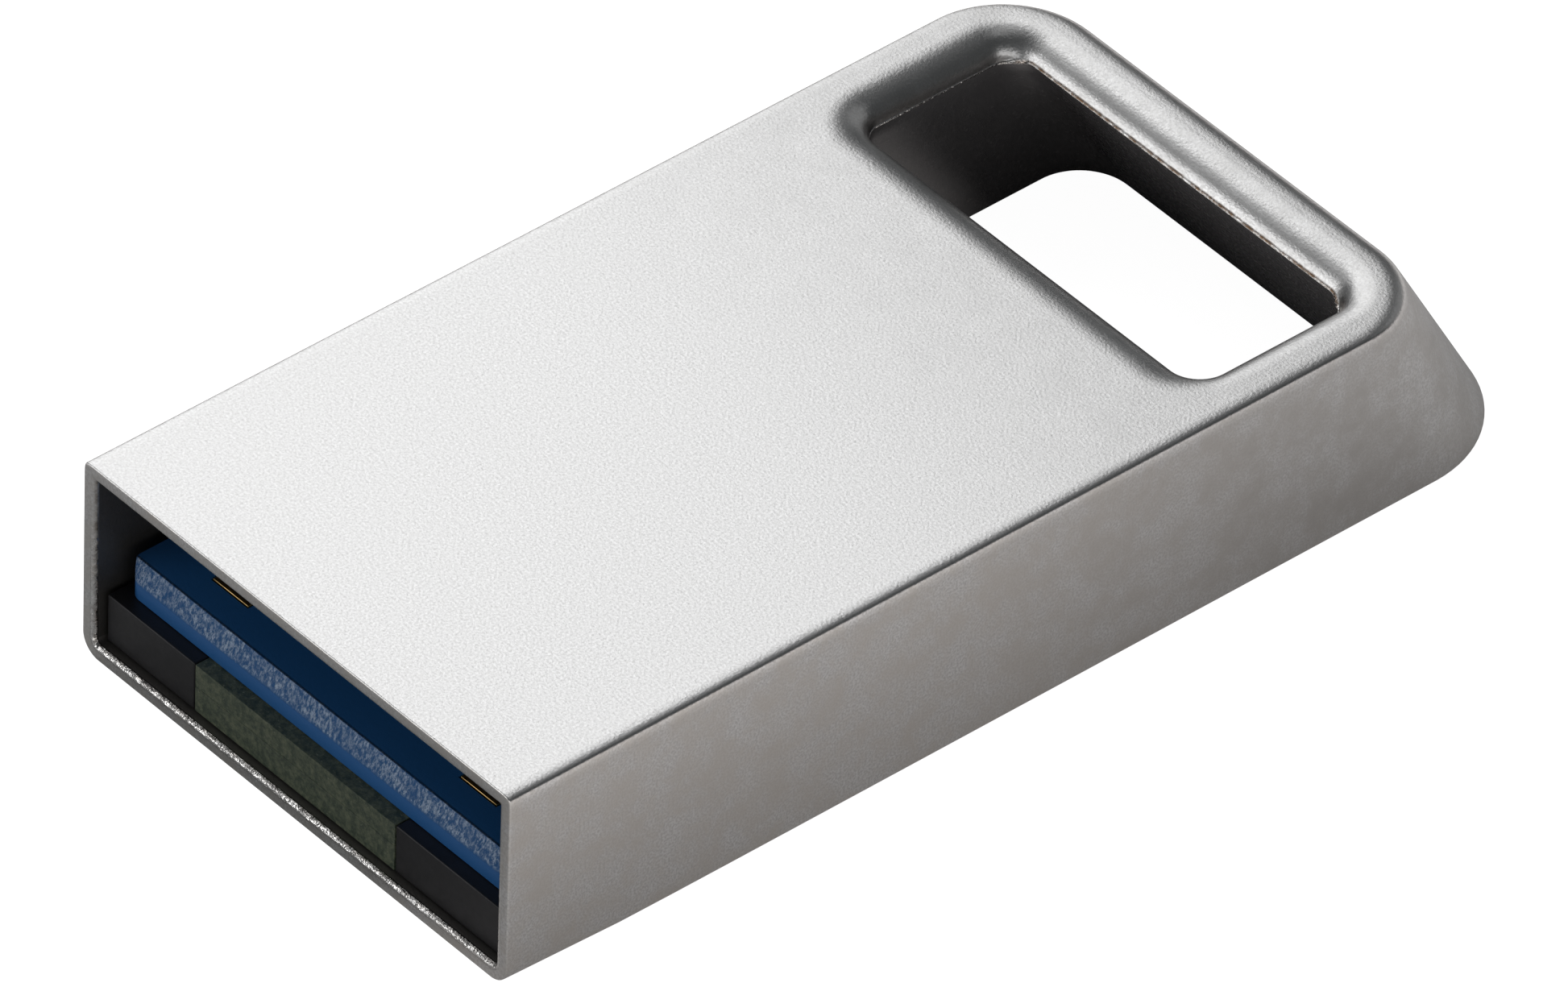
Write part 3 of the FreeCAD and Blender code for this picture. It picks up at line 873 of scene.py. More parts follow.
@dataclass
class DrawnShell:
    """The shape rules of the drawn metal: outlines, edge rounding and rolled hole edges.

    The rows are steps in a rounded edge. Those of the roll crowd towards the top face by a power,
    and the trimmed end of the roll has rows of its own.
    """

    width: float
    height: float
    mouth: float
    end: float
    wall: float = 0.32
    lean: float = 31.6
    top_plan_radius: float = 1.9
    foot_plan_radius: float = 2.67
    top_edge: float = 0.06
    top_edge_wide: float = 1.7
    top_edge_late: float = 1.5
    top_edge_ease: float = 0.13
    foot_edge: float = 0.21
    mouth_foot_edge: float = 0.45
    mouth_fading: float = 1.5
    end_top_edge: float = 0.4
    end_top_edge_wide: float = 1.2
    end_foot_edge: float = 0.12
    neck_half: float = 4.77
    neck_front: float = 4.725
    neck_back: float = 8.785
    neck_radius: float = 0.65
    hole_draft: float = 5.5
    hole_back_lean: float = 29.8
    corner_growth: float = 0.45
    top_roll: float = 0.46
    side_roll: Roll = Roll(0.54, 0.8, 0.22, 0.68, 88.0)
    back_roll: Roll = Roll(0.75, 0.3, 0.2, 0.57, 62.0)
    front_roll: Roll = Roll(0.5, 2.0, 0.27, 0.85, 100.0)
    foot_roll: float = 0.3
    lip: float = 0.1
    least_radius: float = 0.03
    trim_turn: float = 0.12
    burr_turn: float = 0.05
    foot_gap: float = 0.1
    support: float = 0.03
    edge_rows: int = 18
    roll_rows: int = 27
    roll_crowding: float = 1.3
    trim_rows: int = 6
    foot_rows: int = 12
    stations: Stations = field(default_factory=Stations)

    def sharp_end(self) -> float:
        """Where the leaning end would meet the foot plane if the edge were sharp."""
        wedge = math.radians(90 - self.lean) / 2
        return self.end + self.end_foot_edge * (1 / math.tan(wedge) - 1)

    def body_wall(self, z: np.ndarray, margin: float, front: float) -> np.ndarray:
        """Points of the outer wall.

        The outline at a height is a rectangle with two round far corners, set in by a margin. Its
        far side moves towards the mouth in proportion to the height, and the corner radii shrink
        in proportion to it.

        Args:
            z: heights, rows x stations or rows x 1.
            margin: how far the wall is set in.
            front: the mouth-side end of the walls.

        Returns:
            rows x stations x 2 plan points.
        """
        slope = math.tan(math.radians(self.lean))
        half = self.width / 2 - margin
        back = self.sharp_end() - z * slope - margin / math.cos(math.radians(self.lean))
        taper = (self.foot_plan_radius - self.top_plan_radius) / self.height
        radius = self.foot_plan_radius - z * taper - margin
        return rounded_outline(self.stations.body(), half, front, back - radius, radius)

    def roll(self) -> Roll:
        """The hole's roll, mixed from its sides by the way the wall faces.

        Returns:
            The roll, with its values by station.
        """
        facing = np.sin(np.radians(self.stations.hole()[2]))
        back, front = np.clip(facing, 0, 1) ** 2, np.clip(-facing, 0, 1) ** 2
        rolls = (self.side_roll, self.back_roll, self.front_roll)

        def mixed(name: str) -> np.ndarray:
            """One of the roll's values by station."""
            side, far, near = (getattr(roll, name) for roll in rolls)
            return side + (far - side) * back + (near - side) * front

        return Roll(*(mixed(name) for name in ("tight", "wide", "ease", "reach", "last")))

    def lip_height(self) -> float:
        """Where the trimmed end of the roll lies along the hole's sides.

        Returns:
            Its height.
        """
        side = self.side_roll
        edge = EasedEdge(side.tight, side.wide, side.ease)
        return self.height - float(edge.sink(math.radians(side.last)))

    def neck(self) -> np.ndarray:
        """The hole's outline where its sides are upright.

        Returns:
            stations x 2 plan points, with the front line's stations last.
        """
        radius = self.neck_radius
        return rounded_outline(self.stations.hole(), self.neck_half, self.neck_front + radius,
                               self.neck_back - radius, radius)

    def hole_wall(self, z: np.ndarray, margin: float) -> np.ndarray:
        """Points of the lanyard hole's plane walls, before their edges are rolled.

        Args:
            z: heights, rows x stations or rows x 1.
            margin: how far the hole is widened.

        Returns:
            rows x stations x 2 plan points, with the front line's stations last.
        """
        drop = self.height - self.top_roll - z

        def moved(angle: float) -> np.ndarray:
            """How far a wall that leans by an angle lies outside the neck."""
            return (drop * math.tan(angle) + margin / math.cos(angle)
                    - self.top_roll * (1 / math.cos(angle) - 1))

        side = moved(math.radians(self.hole_draft))
        back = moved(math.radians(self.hole_back_lean))
        growth = self.corner_growth * drop / (self.height - self.top_roll)
        radius = self.neck_radius + growth + margin
        return rounded_outline(self.stations.hole(), self.neck_half + side,
                               self.neck_front - side + radius, self.neck_back + back - radius,
                               radius)

    def _lean_of(self, wall: np.ndarray, normal: np.ndarray) -> np.ndarray:
        """How much a wall moves along its normal for each step down, from its low and high rows."""
        return ((wall[0] - wall[1]) * normal).sum(-1) / self.height

    def band(self, margin: float, front: float) -> np.ndarray:
        """The side wall with its two rounded edges, from the top face to the foot.

        The top edge is an eased edge that ends where it touches the wall. The foot edge is the arc
        of a circle: in the plane of the wall's normal its centre lies one tangent length inwards
        from the sharp edge, and that length is the radius times the tangent of half the turn.

        Args:
            margin: how far the skin is set in.
            front: the mouth-side end of the walls.

        Returns:
            rows x stations x 3 points.
        """
        _, along, heading = self.stations.body()
        normal = turns(heading)
        levels = np.array([[margin], [self.height - margin]])
        ends = self.body_wall(levels, margin, front)
        lean = self._lean_of(ends, normal) * self.height / (self.height - 2 * margin)
        angle = np.arctan(lean)
        round_end = 1 - np.abs(heading - 90) / 90
        top = self.top_edge + (self.end_top_edge - self.top_edge) * round_end
        foot = self.foot_edge + (self.end_foot_edge - self.foot_edge) * round_end
        onward = along * (self.end - self.mouth) / self.mouth_fading
        foot = foot + (self.mouth_foot_edge - self.foot_edge) * np.exp(-onward)
        top, foot = (np.maximum(r - margin, self.least_radius) for r in (top, foot))
        wide = self.top_edge_wide + (self.end_top_edge_wide - self.top_edge_wide) * round_end
        soft = max(0.0, 1 - margin / self.wall)
        last = math.pi / 2 - angle
        edge = EasedEdge(top, wide * soft, self.top_edge_ease,
                         self.top_edge_late * soft * (1 - round_end), last)
        share = np.linspace(0, 1, self.edge_rows + 1)[:, None]
        top_turn = share * share * (3 - 2 * share) * last
        z_top = self.height - margin - edge.sink(top_turn)
        rise = self.height - margin - edge.sink(last) - z_top
        in_top = edge.run(top_turn, last) + lean * rise
        foot_turn = angle - share * (angle + math.pi / 2)
        foot_reach = foot * np.tan((math.pi / 2 + angle) / 2)
        z_foot = margin + foot * (1 + np.sin(foot_turn))
        in_foot = foot_reach - foot * np.cos(foot_turn) - lean * (z_foot - margin)
        z = np.concatenate([z_top, z_top[-1:] - self.support, z_foot[:1] + self.support, z_foot])
        inset = np.concatenate([in_top, 0 * in_top[:2], in_foot])
        plan = self.body_wall(z, margin, front) - normal * inset[:, :, None]
        return at_height(plan, z)

    def front_line(self, right: np.ndarray, left: np.ndarray) -> np.ndarray:
        """Points from a right corner to a left one on the mouth side, without the corners."""
        share = self.stations.fractions()[:, None]
        return right + (left - right) * share

    def sheet_border(self, edge: np.ndarray, inward: float) -> np.ndarray:
        """A closed loop just inside the border of a flat face.

        Args:
            edge: the band's row at that face, stations x 3.
            inward: how far inside.

        Returns:
            The loop with the front line's stations last.
        """
        loop = edge - at_height(turns(self.stations.body()[2]), 0.0) * inward
        if inward > 0:
            loop[[0, -1], 1] += inward / 2
        line = self.front_line(edge[-1], edge[0])
        line[:, 1] += inward
        return np.concatenate([loop, line])

    def top_face(self, margin: float, edge: np.ndarray, burr: Values = 0.0) -> np.ndarray:
        """The top face with the rolled edge of the hole, from the roll's lip outwards.

        The roll is an eased edge that runs past the vertical to the lip.

        Args:
            margin: how far the skin is set in.
            edge: the band's top row.
            burr: how far the last of the roll stands proud, by station.

        Returns:
            rows x stations x 3 points.
        """
        normal = turns(self.stations.hole()[2])
        roll = self.roll()
        edge_form = EasedEdge(roll.tight, roll.wide, roll.ease)
        last = np.radians(roll.last)
        share = np.linspace(1, 0, self.roll_rows + 1)[1:, None] ** self.roll_crowding
        turn = np.concatenate([last - np.linspace(0, self.trim_turn, self.trim_rows)[:, None],
                               (last - self.trim_turn) * share])
        proud = burr * np.exp(-((last - turn) / self.burr_turn) ** 2) - margin
        z = self.height - edge_form.sink(turn) + proud * np.cos(turn)
        out = roll.reach - edge_form.run(0.0, turn) - proud * np.sin(turn)
        rolled = at_height(self.neck() + normal * out[:, :, None], z)
        step = at_height(normal, 0.0) * self.support
        return np.concatenate([rolled, (rolled[-1] + step)[None],
                               self.sheet_border(edge, self.support)[None],
                               self.sheet_border(edge, 0.0)[None]])

    def foot_face(self, margin: float, edge: np.ndarray) -> np.ndarray:
        """The foot with the rolled edge of the hole, from the outer edge to the lip.

        Args:
            margin: how far the skin is set in.
            edge: the band's foot row.

        Returns:
            rows x stations x 3 points.
        """
        normal = turns(self.stations.hole()[2])
        ends = self.hole_wall(np.array([[0.0], [self.height]]), margin)
        lean = self._lean_of(ends, normal)
        radius = max(self.foot_roll - margin, self.least_radius)
        turn_end = math.pi / 2 - np.arctan(lean)
        reach = radius * np.tan(turn_end / 2)
        turn = np.linspace(0, 1, self.foot_rows + 1)[:, None] * turn_end
        z = margin + radius * (1 - np.cos(turn))
        inset = reach - radius * np.sin(turn) + lean * (z - margin)
        z = np.concatenate([z, np.full((1, len(lean)), self.foot_roll + self.lip)])
        inset = np.concatenate([inset, np.zeros((1, len(lean)))])
        plan = self.hole_wall(z, margin + self.foot_gap) + normal * inset[:, :, None]
        roll = at_height(plan, z)
        step = at_height(normal, 0.0) * self.support
        return np.concatenate([self.sheet_border(edge, 0.0)[None],
                               self.sheet_border(edge, self.support)[None],
                               (roll[0] + step)[None], roll])

    def section(self, margin: float, y: float) -> np.ndarray:
        """The closed loop round the sleeve at one place along it.

        Args:
            margin: how far the loop is set in.
            y: where along the body.

        Returns:
            The loop down the left, across the foot, up the right and back across the top.
        """
        band = self.band(margin, y)
        left, right = band[:, 0], band[:, -1]
        foot = self.front_line(right[-1], left[-1])[::-1]
        top = self.front_line(right[0], left[0])
        return np.concatenate([left, foot, right[::-1], top])


def joined_lips(first: np.ndarray, second: np.ndarray, way: np.ndarray, radius: float,
                steps: int = 5) -> np.ndarray:
    """A trimmed edge between two skins, with both of its corners rounded.

    Each corner is a quarter circle from the end of its skin, onwards along the skin's way and then
    across towards the other skin.

    Args:
        first: points where the first skin ends.
        second: points where the second skin ends.
        way: the direction in which both skins run out, of any length.
        radius: the corners' radius.
        steps: steps in each corner.

    Returns:
        rows x stations x 3 points from the first skin to the second.
    """
    across = second - first
    across = across / np.linalg.norm(across, axis=-1, keepdims=True)
    way = way / np.linalg.norm(way, axis=-1, keepdims=True)
    turn = np.linspace(0, math.pi / 2, steps + 1)[:, None, None]
    near = first + radius * ((1 - np.cos(turn)) * across + np.sin(turn) * way)
    far = second + radius * (np.sin(turn[::-1]) * way - (1 - np.cos(turn[::-1])) * across)
    return np.concatenate([near, far])


@dataclass
class Housing:
    """The metal housing: plug sleeve, body and lanyard ring in one sheet.

    The sheet was torn most in the far corners of the hole, which are given by their headings and
    spreads in degrees. torn and soiled list those marks over the first rows of the trimmed lip.
    The far side of the hole loses a share torn_lost of the first, and its near side a share
    soiled_lost of the second. At the mouth, the soil starts and fades in at shares of the way
    inwards, and the foot and the top lose shares of it. The burr has a height, and factors on it:
    the least, the usual and the most, the swing of its waves, and what the far corners add.
    """

    shell: DrawnShell
    mouth_round: float = 0.035
    mouth_inner_round: float = 0.11
    mouth_rows: int = 8
    lip_round: float = 0.03
    lip_marks: tuple[float, float] = (1.0, 0.2)
    burr: float = 0.012
    burr_waves: tuple[int, ...] = (3, 5, 9, 14, 22)
    burr_least: float = 0.2
    burr_usual: float = 0.6
    burr_most: float = 2.2
    burr_swing: float = 1.2
    burr_left: float = 2.4
    burr_right: float = 1.6
    burr_teeth: tuple[int, int] = (61, 97)
    burr_spread: float = 16.0
    left_corner: float = 128.0
    right_corner: float = 52.0
    torn_spread: float = 20.0
    torn: tuple[float, ...] = (1.0, 0.9, 0.3, 0.0, 0.0, 0.0)
    torn_lost: float = 0.7
    soiled: tuple[float, ...] = (1.0, 1.0, 0.8, 0.4, 0.0)
    soiled_lost: float = 0.75
    mouth_soil_start: float = 0.3
    mouth_soil_fade: float = 0.3
    mouth_soil_lost: tuple[float, float] = (0.65, 0.9)
    mouth_top_fade: float = 0.1

    def _near(self, heading: float, spread: float) -> np.ndarray:
        """How near each station of the hole faces a heading: 1 there, fading over the spread."""
        away = self.shell.stations.hole()[2] - heading
        return np.exp(-(away / spread) ** 2)

    def _burr(self) -> np.ndarray:
        """An uneven burr along the trimmed lip: a sum of waves of mixed length, never below 0.

        It is high where the sheet was torn at the far left corner and ragged at the far right one.

        Returns:
            Its height by station.
        """
        count = self.shell.stations.hole().shape[1]
        at = np.linspace(0, 2 * math.pi, count, endpoint=False)
        wave = sum(math.cos(n * 1.7) * np.sin(n * at + n * n) / n for n in self.burr_waves)
        coarse, fine = self.burr_teeth
        ragged = np.sin(coarse * at) + np.sin(fine * at + 1)
        even = np.clip(self.burr_usual + self.burr_swing * wave, self.burr_least, self.burr_most)
        left = self.burr_left * self._near(self.left_corner, self.burr_spread)
        right = self.burr_right * self._near(self.right_corner, self.burr_spread)
        return self.burr * (even + left + right * (1 + ragged))

    def _outer(self, skin: Skin, front: float) -> tuple[np.ndarray, np.ndarray]:
        """Adds the outer skin, torn and soiled beside the trimmed lip.

        It is torn less at the far side of the hole and more in its far corners, and it is soiled
        most at the far side.

        Args:
            skin: the surface to add to.
            front: the mouth-side end of the walls.

        Returns:
            The grids of the top face and of the foot.
        """
        shell = self.shell
        band = shell.band(0.0, front)
        top = shell.top_face(0.0, band[0], self._burr())
        foot = shell.foot_face(0.0, band[-1])
        back = np.clip(np.sin(np.radians(shell.stations.hole()[2])), 0, 1)
        ends = (self._near(self.left_corner, self.torn_spread)
                + self._near(self.right_corner, self.torn_spread))
        torn, soiled = (np.array(rows)[:, None] for rows in (self.torn, self.soiled))
        marks = np.zeros(top.shape[:2] + (2,))
        marks[:len(torn), :, 0] = (torn * (1 - self.torn_lost * back)
                                   + np.linspace(1, 0, len(torn))[:, None] * ends)
        marks[:len(soiled), :, 1] = soiled * (1 - self.soiled_lost * (1 - back))
        skin.add(np.concatenate([top, marks], axis=-1), round_columns=True)
        skin.add(band)
        skin.add(foot, round_columns=True)
        return top, foot

    def _inner(self, skin: Skin, front: float) -> tuple[np.ndarray, np.ndarray]:
        """Adds the inner skin, marked inside, where the steel paints shade.

        Args:
            skin: the surface to add to.
            front: the mouth-side end of the walls.

        Returns:
            The grids of the top face and of the foot.
        """
        shell = self.shell
        band = shell.band(shell.wall, front)
        top = shell.top_face(shell.wall, band[0])
        foot = shell.foot_face(shell.wall, band[-1])
        for part, closed in ((top, True), (band, False), (foot, True)):
            marks = np.zeros(part.shape[:2] + (3,))
            marks[:, :, 2] = 1.0
            skin.add(np.concatenate([part, marks], axis=-1), round_columns=closed, turned=True)
        return top, foot

    def _mouth(self, skin: Skin) -> None:
        """Adds the sheet's edge round the mouth: two rounded corners with a flat between them.

        The inner corner is torn along the foot and soiled further in, least at the foot and top.

        Args:
            skin: the surface to add to.
        """
        shell = self.shell

        def corner(radius: float, turn: float) -> tuple[float, float]:
            """How far a round corner lies in from its skin, and where along the body."""
            return radius * (1 - math.cos(turn)), shell.mouth + radius * (1 - math.sin(turn))

        turn = np.linspace(0, math.pi / 2, self.mouth_rows)
        outer = [corner(self.mouth_round, t) for t in turn]
        inner = [corner(self.mouth_inner_round, t) for t in turn[::-1]]
        inner = [(shell.wall - inset, y) for inset, y in inner]
        loops = np.stack([shell.section(margin, y) for margin, y in outer + inner])
        marks = np.zeros(loops.shape[:2] + (2,))
        inward = np.linspace(0, 1, len(inner))[:, None]
        height = loops[len(outer):, :, 2]
        low = np.clip(1.5 - height / (shell.foot_edge + shell.wall), 0, 1)
        high = np.clip((height - shell.height + shell.wall) / self.mouth_top_fade + 1, 0, 1)
        soiled = np.clip((inward - self.mouth_soil_start) / self.mouth_soil_fade, 0, 1)
        lost_low, lost_high = self.mouth_soil_lost
        marks[len(outer):, :, 0] = np.clip(6 * inward, 0, 1) * np.clip(3 * low, 0, 1)
        marks[len(outer):, :, 1] = soiled * (1 - lost_low * low - lost_high * high)
        skin.add(np.concatenate([loops, marks], axis=-1), round_columns=True)

    def build(self) -> bpy.types.Object:
        """Makes the housing.

        Returns:
            The piece.
        """
        mouth = self.shell.mouth
        skin = Skin()
        top, foot = self._outer(skin, mouth + self.mouth_round)
        inner_top, inner_foot = self._inner(skin, mouth + self.mouth_inner_round)
        self._mouth(skin)
        for lip in (joined_lips(inner_top[0], top[0], top[0] - top[1], self.lip_round),
                    joined_lips(foot[-1], inner_foot[-1], foot[-1] - foot[-2], self.lip_round)):
            marks = np.ones(lip.shape[:2] + (2,)) * np.array(self.lip_marks)
            skin.add(np.concatenate([lip, marks], axis=-1), round_columns=True)
        made = skin.build("housing_shell")
        made.data.materials.append(BlastedSteel("blasted_steel").material())
        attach(made, "housing")
        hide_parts("metal_housing")
        return made


@dataclass
class RingLining:
    """The black filling of the ring, which shows as the wall of the lanyard hole."""

    shell: DrawnShell
    gap: float = 0.03
    recess: float = 0.03
    foot_clear: float = 0.02
    soft: float = 0.03
    wall_rows: int = 12

    def _round(self, margin: float, band: np.ndarray) -> np.ndarray:
        """Profiles of the hole's wall, the steps under both lips, and the top and foot.

        Args:
            margin: how far the outside is set in from the metal's outside.
            band: the outer side wall.

        Returns:
            rows x stations x 3 points.
        """
        shell = self.shell
        normal = turns(shell.stations.hole()[2])

        def ring(z: float, inset: float, pull: float = 0.0) -> np.ndarray:
            """A loop of the hole's wall at height z, widened by inset and then moved by pull."""
            return at_height(shell.hole_wall(np.array([[z]]), inset)[0] + normal * pull, z)

        soft, low = self.soft, self.foot_clear
        high = shell.lip_height() - self.gap
        foot_step = [ring(margin, margin / 2), ring(low, margin / 4), ring(low, self.recess, soft),
                     ring(low + soft / 3, self.recess, soft / 3)]
        wall = [ring(z, self.recess) for z in np.linspace(low + soft, high - soft, self.wall_rows)]
        top_step = [ring(high - soft / 3, self.recess, soft / 3), ring(high, self.recess, soft),
                    ring(high, margin), ring(shell.height - margin, margin)]
        return np.stack([shell.sheet_border(band[-1], 0.0)] + foot_step + wall + top_step
                        + [shell.sheet_border(band[0], 0.0)])

    def build(self) -> bpy.types.Object:
        """Makes the round of profiles, the outer side wall and the flat front wall.

        Each column of the front wall mixes its left and right edges, so that the column's ends
        fall on the front lines of the top and the foot.

        Returns:
            The piece.
        """
        shell = self.shell
        margin = shell.wall + self.gap
        band = shell.band(margin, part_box("ring_liner")[0][1] / MM)
        left, right = band[:, 0], band[:, -1]
        share = shell.stations.fractions()[:, None, None]
        skin = Skin()
        skin.add(self._round(margin, band), round_columns=True)
        skin.add(band)
        skin.add(np.concatenate([left[None], left + (right - left) * share, right[None]]))
        made = skin.build("ring_lining")
        made.data.materials.append(Moulding("liner_moulding", colour=(0.18, 0.17, 0.172),
                                            worn=(0.22, 0.21, 0.212), rough=0.25).material())
        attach(made, "housing")
        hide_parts("ring_liner")
        return made


@dataclass
class SoftenedPiece:
    """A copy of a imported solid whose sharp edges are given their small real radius.

    Faces count as one flat face below the angle flat, and an edge is rounded above the angle
    sharpest, both in degrees.
    """

    node: str
    name: str
    slot: str
    finish: Finish
    radius: float = 0.03
    segments: int = 3
    body: str = "housing"
    flat: float = 0.5
    sharpest: float = 40.0

    def build(self) -> bpy.types.Object:
        """Merges the copy's loose triangles, joins the flat ones, and bevels what is left.

        Returns:
            The piece.
        """
        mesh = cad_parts[self.node].data.copy()
        mesh.name = self.name
        work = bmesh.new()
        work.from_mesh(mesh)
        bmesh.ops.remove_doubles(work, verts=work.verts, dist=SAME_PLACE)
        bmesh.ops.dissolve_limit(work, angle_limit=math.radians(self.flat), verts=work.verts,
                                 edges=work.edges)
        work.to_mesh(mesh)
        work.free()
        mesh.materials.clear()
        mesh.materials.append(self.finish.material())
        made = placed(self.name, mesh)
        bevel = made.modifiers.new("edges", "BEVEL")
        bevel.width = self.radius * MM
        bevel.segments = self.segments
        bevel.limit_method = "ANGLE"
        bevel.angle_limit = math.radians(self.sharpest)
        bevel.use_clamp_overlap = True
        mesh.polygons.foreach_set("use_smooth", np.ones(len(mesh.polygons), dtype=bool))
        weights = made.modifiers.new("normals", "WEIGHTED_NORMAL")
        weights.keep_sharp = True
        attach(made, self.body)
        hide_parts(self.node)
        return made


# ---------------------------------------------------------------- studio

@dataclass
class Viewpoint:
    """The camera: where it stands round the drive and how it is turned, in degrees."""

    azimuth: float = 48.300
    elevation: float = 40.317
    roll: float = 1.946
    distance: float = 443.336
    target: tuple[float, float] = (-1.332, 0.318)
    lens: float = 554.98952
    sensor: float = 36.0
    clip: tuple[float, float] = (10.0, 10000.0)

    def build(self) -> bpy.types.Object:
        """Makes the scene's camera.

        Returns:
            The camera.
        """
        a, e, r = (math.radians(v) for v in (self.azimuth, self.elevation, self.roll))
        back = Vector((math.sin(a) * math.cos(e), -math.cos(a) * math.cos(e), math.sin(e)))
        right = Vector((math.cos(a), math.sin(a), 0.0))
        up = back.cross(right)
        turned_right = right * math.cos(r) + up * math.sin(r)
        turned_up = up * math.cos(r) - right * math.sin(r)
        data = bpy.data.cameras.new("camera")
        data.sensor_width = self.sensor
        data.lens = self.lens
        data.clip_start, data.clip_end = (edge * MM for edge in self.clip)
        camera = placed("camera", data)
        turn = Matrix((turned_right, turned_up, back)).transposed().to_4x4()
        place = Vector((*self.target, 0.0)) * MM + back * self.distance * MM
        camera.matrix_world = Matrix.Translation(place) @ turn
        bpy.context.scene.camera = camera
        return camera


@dataclass(frozen=True)
class Softbox:
    """A rectangular soft light that faces the drive.

    Azimuth is the direction from the drive towards it, from +X to +Y. Angles are degrees, and the
    distance is metres.
    """

    name: str
    azimuth: float
    elevation: float
    distance: float
    half_across: float
    half_up: float
    glow: float

    def build(self) -> bpy.types.Object:
        """Makes the light.

        Its size comes from the half angles that it fills, and its power from its glow, which a
        white surface would show if the light filled the sky: power is pi times glow times area.

        Returns:
            The light.
        """
        a, e = math.radians(self.azimuth), math.radians(self.elevation)
        away = Vector((math.cos(a) * math.cos(e), math.sin(a) * math.cos(e), math.sin(e)))
        data = bpy.data.lights.new(self.name, "AREA")
        data.shape = "RECTANGLE"
        data.size = 2 * self.distance * math.tan(math.radians(self.half_across))
        data.size_y = 2 * self.distance * math.tan(math.radians(self.half_up))
        data.energy = math.pi * self.glow * data.size * data.size_y
        made = placed(self.name, data)
        made.location = away * self.distance
        made.rotation_euler = away.to_track_quat("Z", "Y").to_euler()
        made.visible_camera = False
        return made


